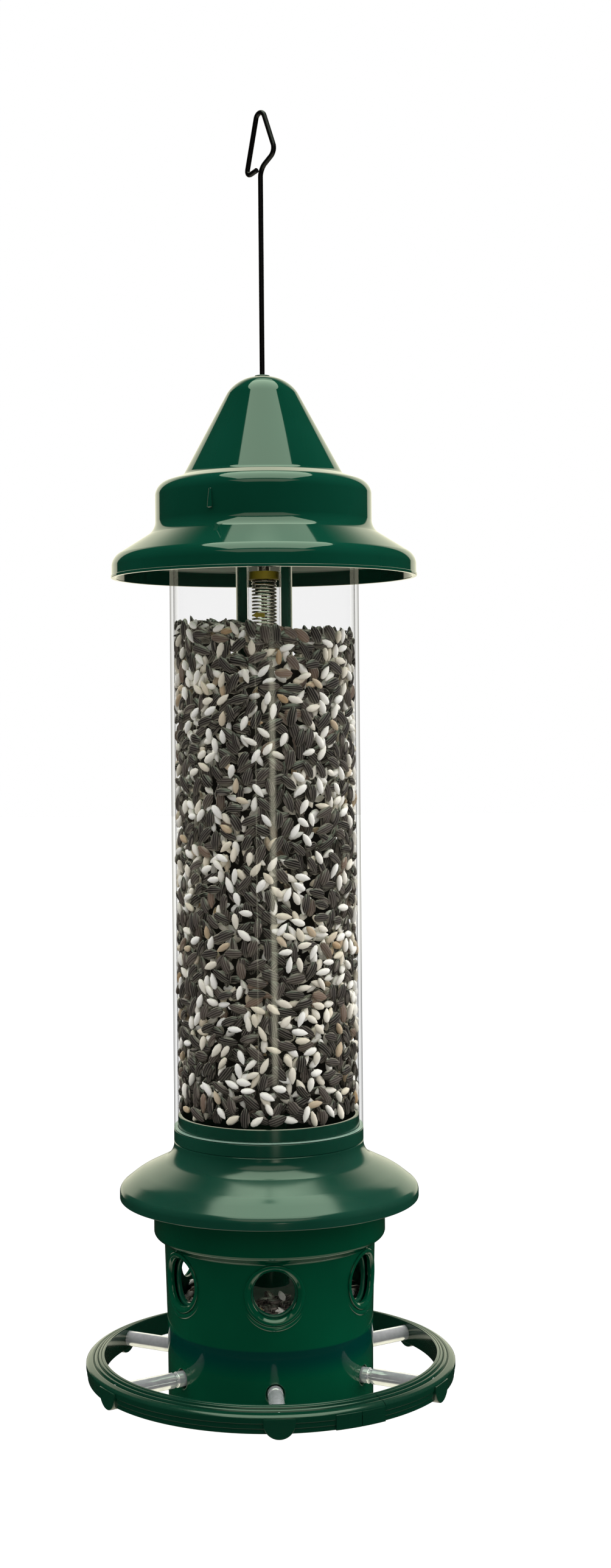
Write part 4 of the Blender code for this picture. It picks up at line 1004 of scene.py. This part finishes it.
seedShape = {
    "sunflower": {
        "length": 11.0, "width": 5.7, "thick": 3.2, "tip": 0.45, "reach": 3.0, "girth": 2.45,
    },
    "safflower": {
        "length": 8.6, "width": 4.1, "thick": 3.4, "tip": 0.6, "reach": 2.0, "girth": 1.9,
    },
}
seedKinds = tuple(seedShape)
fillShape = {
    "bore": 49.1, "low": 157.5, "top": 416.0, "leftRise": 3.5, "backRise": 1.5, "core": 38.0,
    "layers": ((1.5, 30000), (3.3, 16000), (5.6, 9000), (8.4, 6000)),
    "looseness": 0.93, "cell": 5.2, "heapSeeds": 900, "heapDepth": 9, "heapIn": 17.5,
    "heapOut": 44.0, "trayLevel": 54.0, "traySeeds": 75, "whiteShare": 0.26,
    "clusterShare": 0.72, "clusters": 34, "seed": 7,
}


def seedBody(kind):
    # one hull, drawn out to a point at one end
    s = named(seedShape[kind])
    bpy.ops.mesh.primitive_uv_sphere_add(segments=8, ring_count=5, radius=1)
    hull = bpy.context.object
    hull.rotation_euler = (0, pi / 2, 0)
    settle(hull)
    shape = np.array([v.co for v in hull.data.vertices])
    narrow = 1 - s.tip * np.clip(shape[:, 0], 0, 1) ** 1.4
    shape[:, 1:] *= narrow[:, None]
    across = shape[:, 1] / shape[:, 1].max()
    shape *= np.array([s.length, s.width, s.thick]) / 2
    faces = [list(p.vertices) for p in hull.data.polygons]
    bpy.data.objects.remove(hull)
    return shape, faces, across


def surfaceHeight(azimuth):
    # the filling's top falls away towards the right and the front
    s = named(fillShape)
    return s.top - s.leftRise * cos(azimuth) + s.backRise * sin(azimuth)


def scatter(rng, depth, tries, clusters):
    # seeds thrown on the unrolled wall, each as three discs that keep clear of the others
    s = named(fillShape)
    radius = s.bore - depth
    girth = 2 * pi * radius
    columns = int(girth / s.cell)
    found, grid = [], {}
    draws = rng.random((tries, 4))
    for along, up, spin, chance in draws:
        azimuth = along * 2 * pi
        height = s.low + up * (s.top + s.leftRise - s.low)
        if height > surfaceHeight(azimuth):
            continue
        near = any(
            abs((azimuth - a + pi) % (2 * pi) - pi) * radius < w and abs(height - h) < t
            for a, h, w, t in clusters
        )
        isWhite = bool(chance < (s.clusterShare if near else s.whiteShare))
        shape = seedShape[seedKinds[isWhite]]
        turn = spin * 2 * pi
        stepAlong = cos(turn) * shape["reach"]
        stepUp = sin(turn) * shape["reach"] * 0.9
        discs = [
            ((along * girth + k * stepAlong) % girth, height + k * stepUp, shape["girth"])
            for k in (-1, 0, 1)
        ]
        if all(isClear(grid, disc, columns, girth) for disc in discs):
            for disc in discs:
                column, row = int(disc[0] / s.cell) % columns, int(disc[1] / s.cell)
                grid.setdefault((column, row), []).append(disc)
            found.append((azimuth, height, radius, turn, isWhite))
    return found


def isClear(grid, disc, columns, girth):
    s = named(fillShape)
    place, height, reach = disc
    column, row = int(place / s.cell), int(height / s.cell)
    for across in (-1, 0, 1):
        for up in (-1, 0, 1):
            found = grid.get(((column + across) % columns, row + up), ())
            for other, otherHeight, otherReach in found:
                gap = abs(place - other)
                gap = min(gap, girth - gap)
                if hypot(gap, height - otherHeight) < (reach + otherReach) * s.looseness:
                    return False
    return True


def seedAxes(long, normal):
    long = long / np.linalg.norm(long)
    wide = np.cross(normal, long)
    wide /= np.linalg.norm(wide)
    return np.stack([long, wide, np.cross(long, wide)], axis=1)


def wallSeed(rng, azimuth, turn, lean):
    # long axis along the wall, and the flat side against it but for a little lean
    outward = np.array([cos(azimuth), sin(azimuth), 0.0])
    sideways = np.array([-sin(azimuth), cos(azimuth), 0.0])
    long = cos(turn) * sideways + (0, 0, sin(turn)) + outward * rng.normal(0, lean * 0.5)
    return seedAxes(long, outward + rng.normal(0, lean, 3))


def lyingSeed(rng):
    spin = rng.uniform(0, 2 * pi)
    long = np.array([cos(spin), sin(spin), rng.normal(0, 0.35)])
    return seedAxes(long, np.array([rng.normal(0, 0.4), rng.normal(0, 0.4), 1.0]))


def seedFilling():
    s = named(fillShape)
    rng = np.random.default_rng(s.seed)
    clusters = [
        (rng.uniform(0, 2 * pi), rng.uniform(s.low, s.top), rng.uniform(6, 15), rng.uniform(5, 12))
        for k in range(s.clusters)
    ]
    heaps = []
    for depth, tries in s.layers:
        heap = {kind: [] for kind in seedKinds}
        for azimuth, height, radius, turn, isWhite in scatter(rng, depth, tries, clusters):
            axes = wallSeed(rng, azimuth, turn, 0.2 + depth * 0.03)
            reach = radius + rng.uniform(-0.4, 0.2)
            heap[seedKinds[isWhite]].append((axes, polar(reach, azimuth, height)))
        heaps.append(heap)
    heap = {kind: [] for kind in seedKinds}
    for k in range(s.heapSeeds):     # the uneven top, from the wall in to the column
        reach = sqrt(rng.uniform(s.heapIn ** 2, s.heapOut ** 2))
        azimuth = rng.uniform(0, 2 * pi)
        height = surfaceHeight(azimuth) - rng.uniform(0, s.heapDepth) + 1.5 * (1 - reach / s.heapOut)
        kind = seedKinds[rng.random() < s.whiteShare * 0.6]
        heap[kind].append((lyingSeed(rng), polar(reach, azimuth, height)))
    for azimuth in portAzimuths:     # a heap that lies on the tray behind each port
        for k in range(s.traySeeds):
            share = rng.random()
            reach = 32 + 15 * share
            turn = azimuth + rng.normal(0, 0.2)
            height = s.trayLevel + rng.random() * (10 - 6 * share)
            kind = seedKinds[rng.random() < 0.2 + 0.5 * (share > 0.65)]
            heap[kind].append((lyingSeed(rng), polar(reach, turn, height)))
    heaps[-1] = {kind: heaps[-1][kind] + heap[kind] for kind in heap}
    for number, heap in enumerate(heaps):
        for kind, found in heap.items():
            seedPiece(rng, kind, number + 1, found)


def seedPiece(rng, kind, number, found):
    shape, faces, across = seedBody(kind)
    count = len(found)
    turns = np.array([axes for axes, spot in found])
    spots = np.array([spot for axes, spot in found]) * mm
    spots[:, 2] += footLevel
    sizes = rng.uniform(0.86, 1.1, (count, 1, 3)) * mm
    points = np.einsum("nij,nkj->nki", turns, shape[None] * sizes) + spots[:, None]
    allFaces = [[v + k * len(shape) for v in face] for k in range(count) for face in faces]
    mesh = bpy.data.meshes.new(f"{kind}Seeds{number}")
    mesh.from_pydata(points.reshape(-1, 3).tolist(), [], allFaces)
    tones = mesh.attributes.new("seedTone", "FLOAT", "POINT")
    values = np.repeat(rng.random(count), len(shape))
    tones.data.foreach_set("value", values.astype(np.float32))
    edges = mesh.attributes.new("seedAcross", "FLOAT", "POINT")
    edges.data.foreach_set("value", np.tile(across, count).astype(np.float32))
    mesh.polygons.foreach_set("use_smooth", [True] * len(mesh.polygons))
    piece = bpy.data.objects.new(f"{kind}Seeds{number}", mesh)
    scene.collection.objects.link(piece)
    wear(piece, kind, "feeder", "inner_green", inGloss=False)


def seedCore():
    # the middle of the filling, behind the seeds that show; it stands for the deeper seeds, and its
    # darkest hull tone is painted shade in the gaps between them
    s = named(fillShape)
    core = turnedPiece("seedCore", [
        (16, s.top - 16), (s.core, s.top - 16, 4, 3), (s.core, s.low + 2, 3, 3), (16, s.low + 2),
    ], steps=72)
    wear(core, "sunflower", "feeder", "inner_green", inGloss=False)


# Clothes for the CAD nodes that keep their shape

cadFinishes = {
    "hanger_washer": "zinc", "hanger_nut": "zinc", "head_pin": "zinc", "spring_seat": "zinc",
    "pull_rod": "steel", "rod_nut": "zinc", "column_head": "column", "column_nut": "inner",
    "seed_tray": "inner", "seed_funnel": "inner", "ring_joiner_a": "ring", "ring_joiner_b": "ring",
}


def dressCadNodes():
    for name, finish in cadFinishes.items():
        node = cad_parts[name]
        node.data.materials.clear()
        node.data.materials.append(finishes[finish])


# Camera, floor and light

cameraView = {
    "distance": 1.105, "height": 367.0, "lens": 46.8, "shiftX": 0.0257, "shiftY": -0.041,
    "roll": -0.5, "floorDrop": 250.0, "floorSize": 24.0,
}


def camera():
    s = named(cameraView)
    bpy.ops.object.camera_add(
        location=(0, -s.distance, level(s.height)), rotation=(pi / 2, 0, 0),
    )
    lens = bpy.context.object
    lens.data.lens = s.lens
    lens.data.shift_x = s.shiftX
    lens.data.shift_y = s.shiftY
    lens.rotation_euler.rotate_axis("Z", radians(s.roll))
    scene.camera = lens
    scene.view_settings.view_transform = "Standard"


def floor():
    s = named(cameraView)
    bpy.ops.mesh.primitive_plane_add(size=s.floorSize, location=(0, 0, level(-s.floorDrop)))
    paper = bpy.context.object
    paper.name = "studioFloor"
    paper.visible_glossy = False       # the world's own soft ground lights the feeder from below
    paper.visible_diffuse = False
    material, shader = newFinish(
        "paleFloorPaper", Roughness=0.9, Emission_Strength=0.97,
        Base_Color=colour("#343434"), Emission_Color=grey(1),
    )
    side = addNode(material, "NewGeometry")
    clear = addNode(material, "BsdfTransparent")
    mixShaders(material, side, "Backfacing", shader, clear)
    paper.data.materials.append(material)


lightPlan = {
    "base": 0.015, "ground": 1.3, "rear": 1.28, "rearHalf": 0.7, "rearTop": 0.78,
    "rearFade": 0.32, "rearLow": -0.14, "rearTint": "#fbf8dc",
    "box": 4.0, "boxWide": 0.53, "boxNarrow": 0.15, "boxAside": 0.04, "boxNear": -0.75,
    "boxFar": 0.82, "boxDim": 0.56, "boxDimmed": 0.36, "boxTint": "#e6ffe0",
    "lampNear": -2.4, "lampFar": -0.95, "lampHalf": 0.9, "lamp": 1.2,
    "strips": ((8.3, 5.4, 2.9), (-11.5, 0.9, 1.8)), "stripLow": -0.18, "stripHigh": 0.04,
    "softFront": 0.4, "softBack": 2.4, "softTop": 1.0, "softGround": 0.5, "softRight": 0.42,
}


def studioLight():
    # soft light from above and the sides; the gloss sees a white paper behind, a tapering
    # window overhead, a pale ground, thin lamps in front, and darkness elsewhere
    s = named(lightPlan)
    world = bpy.data.worlds.new("studioWhite")
    scene.world = world
    world.use_nodes = True
    background = world.node_tree.nodes["Background"]

    calc = partial(maths, world)
    soft = partial(softStep, world)

    def chain(operation, result, *others):
        for other in others:
            result = calc(operation, result, other)
        return result

    def product(*values):
        return chain("MULTIPLY", *values)

    def highest(*values):
        return chain("MAXIMUM", *values)

    def total(*values):
        return chain("ADD", *values)

    def rest(value):
        return calc("SUBTRACT", 1.0, value)

    def between(value, low, high):
        return product(calc("GREATER_THAN", value, low), calc("LESS_THAN", value, high))

    def away(value, middle):
        return calc("ABSOLUTE", calc("SUBTRACT", value, middle))

    where = addNode(world, "TexCoord")
    axes = addNode(world, "SeparateXYZ", [(where, "Generated", "Vector")])
    x, y, z = [(axes, axis) for axis in "XYZ"]
    side = calc("DIVIDE", calc("ABSOLUTE", x), highest(y, 0.05))
    rear = product(
        soft(side, s.rearHalf + 0.04, s.rearHalf - 0.04), calc("GREATER_THAN", y, 0.0),
        soft(z, s.rearTop, s.rearTop - s.rearFade), soft(z, s.rearLow, s.rearLow + 0.05), s.rear,
    )
    ground = product(soft(z, -0.5, -0.8), s.ground)
    safeZ = highest(z, 0.05)
    u = away(calc("DIVIDE", x, safeZ), s.boxAside)
    v = calc("DIVIDE", y, safeZ)
    overhead = calc("GREATER_THAN", z, 0.1)
    half = soft(v, -0.1, 0.9, s.boxWide, s.boxNarrow)
    box = product(calc("LESS_THAN", u, half), between(v, s.boxNear, s.boxFar), overhead)
    boxPower = soft(v, s.boxDim - 0.05, s.boxDim + 0.05, s.box, s.box * s.boxDimmed)
    lamp = product(
        calc("LESS_THAN", u, s.lampHalf), between(v, s.lampNear, s.lampFar), overhead, s.lamp,
    )
    gloss = highest(s.base, rear, ground, product(box, boxPower), lamp)
    azimuth = product(calc("ARCTAN2", x, product(y, -1.0)), 180 / pi)
    tall = product(
        soft(z, s.stripLow, s.stripLow + 0.01), soft(z, s.stripHigh + 0.02, s.stripHigh - 0.04),
    )
    for angle, halfWidth, power in s.strips:
        near = soft(away(azimuth, angle), halfWidth, halfWidth * 0.2)
        gloss = highest(gloss, product(near, tall, power))
    around = total(s.softFront, product(soft(y, -0.95, 0.5), s.softBack - s.softFront))
    aside = total(1.0, product(x, s.softRight))
    around = total(product(around, aside), product(soft(z, 0.1, 0.9), s.softTop))
    low = soft(z, 0.0, -0.4)
    around = total(product(around, rest(low)), product(low, s.softGround))
    seen = addNode(world, "LightPath")
    isGloss, isCamera = (seen, "Is Glossy Ray"), (seen, "Is Camera Ray")
    light = total(product(gloss, isGloss), product(around, rest(isGloss)))
    strength = total(product(light, rest(isCamera)), isCamera)
    feed(world, *strength, background, "Strength")
    paper = addNode(
        world, "MixRGB", [(*isGloss, "Fac")], Color1=grey(1), Color2=colour(s.rearTint),
    )
    tone = addNode(
        world, "MixRGB", [(*product(box, isGloss), "Fac"), (paper, "Color", "Color1")],
        Color2=colour(s.boxTint),
    )
    feed(world, tone, "Color", background, "Color")


camera()
floor()
studioLight()
print("camera, floor and light set")
hangerWire()
lid()
pointer()
grommet()
clearTube()
weatherGuard()
print("hanger, lid, tube and guard modelled")
springColumn()
sightSleeve()
coilSpring()
yellowBand()
arrowMark()
print("column, spring and marker modelled")
portSleeve()
portHousing()
housingFloor()
print("sleeve, housing and floor modelled")
perchPegs()
ringHalf("A", 0)
ringHalf("B", 180)
print("pegs and ring modelled")
seedFilling()
seedCore()
print("seed filled in")
dressCadNodes()
print("plain nodes dressed")
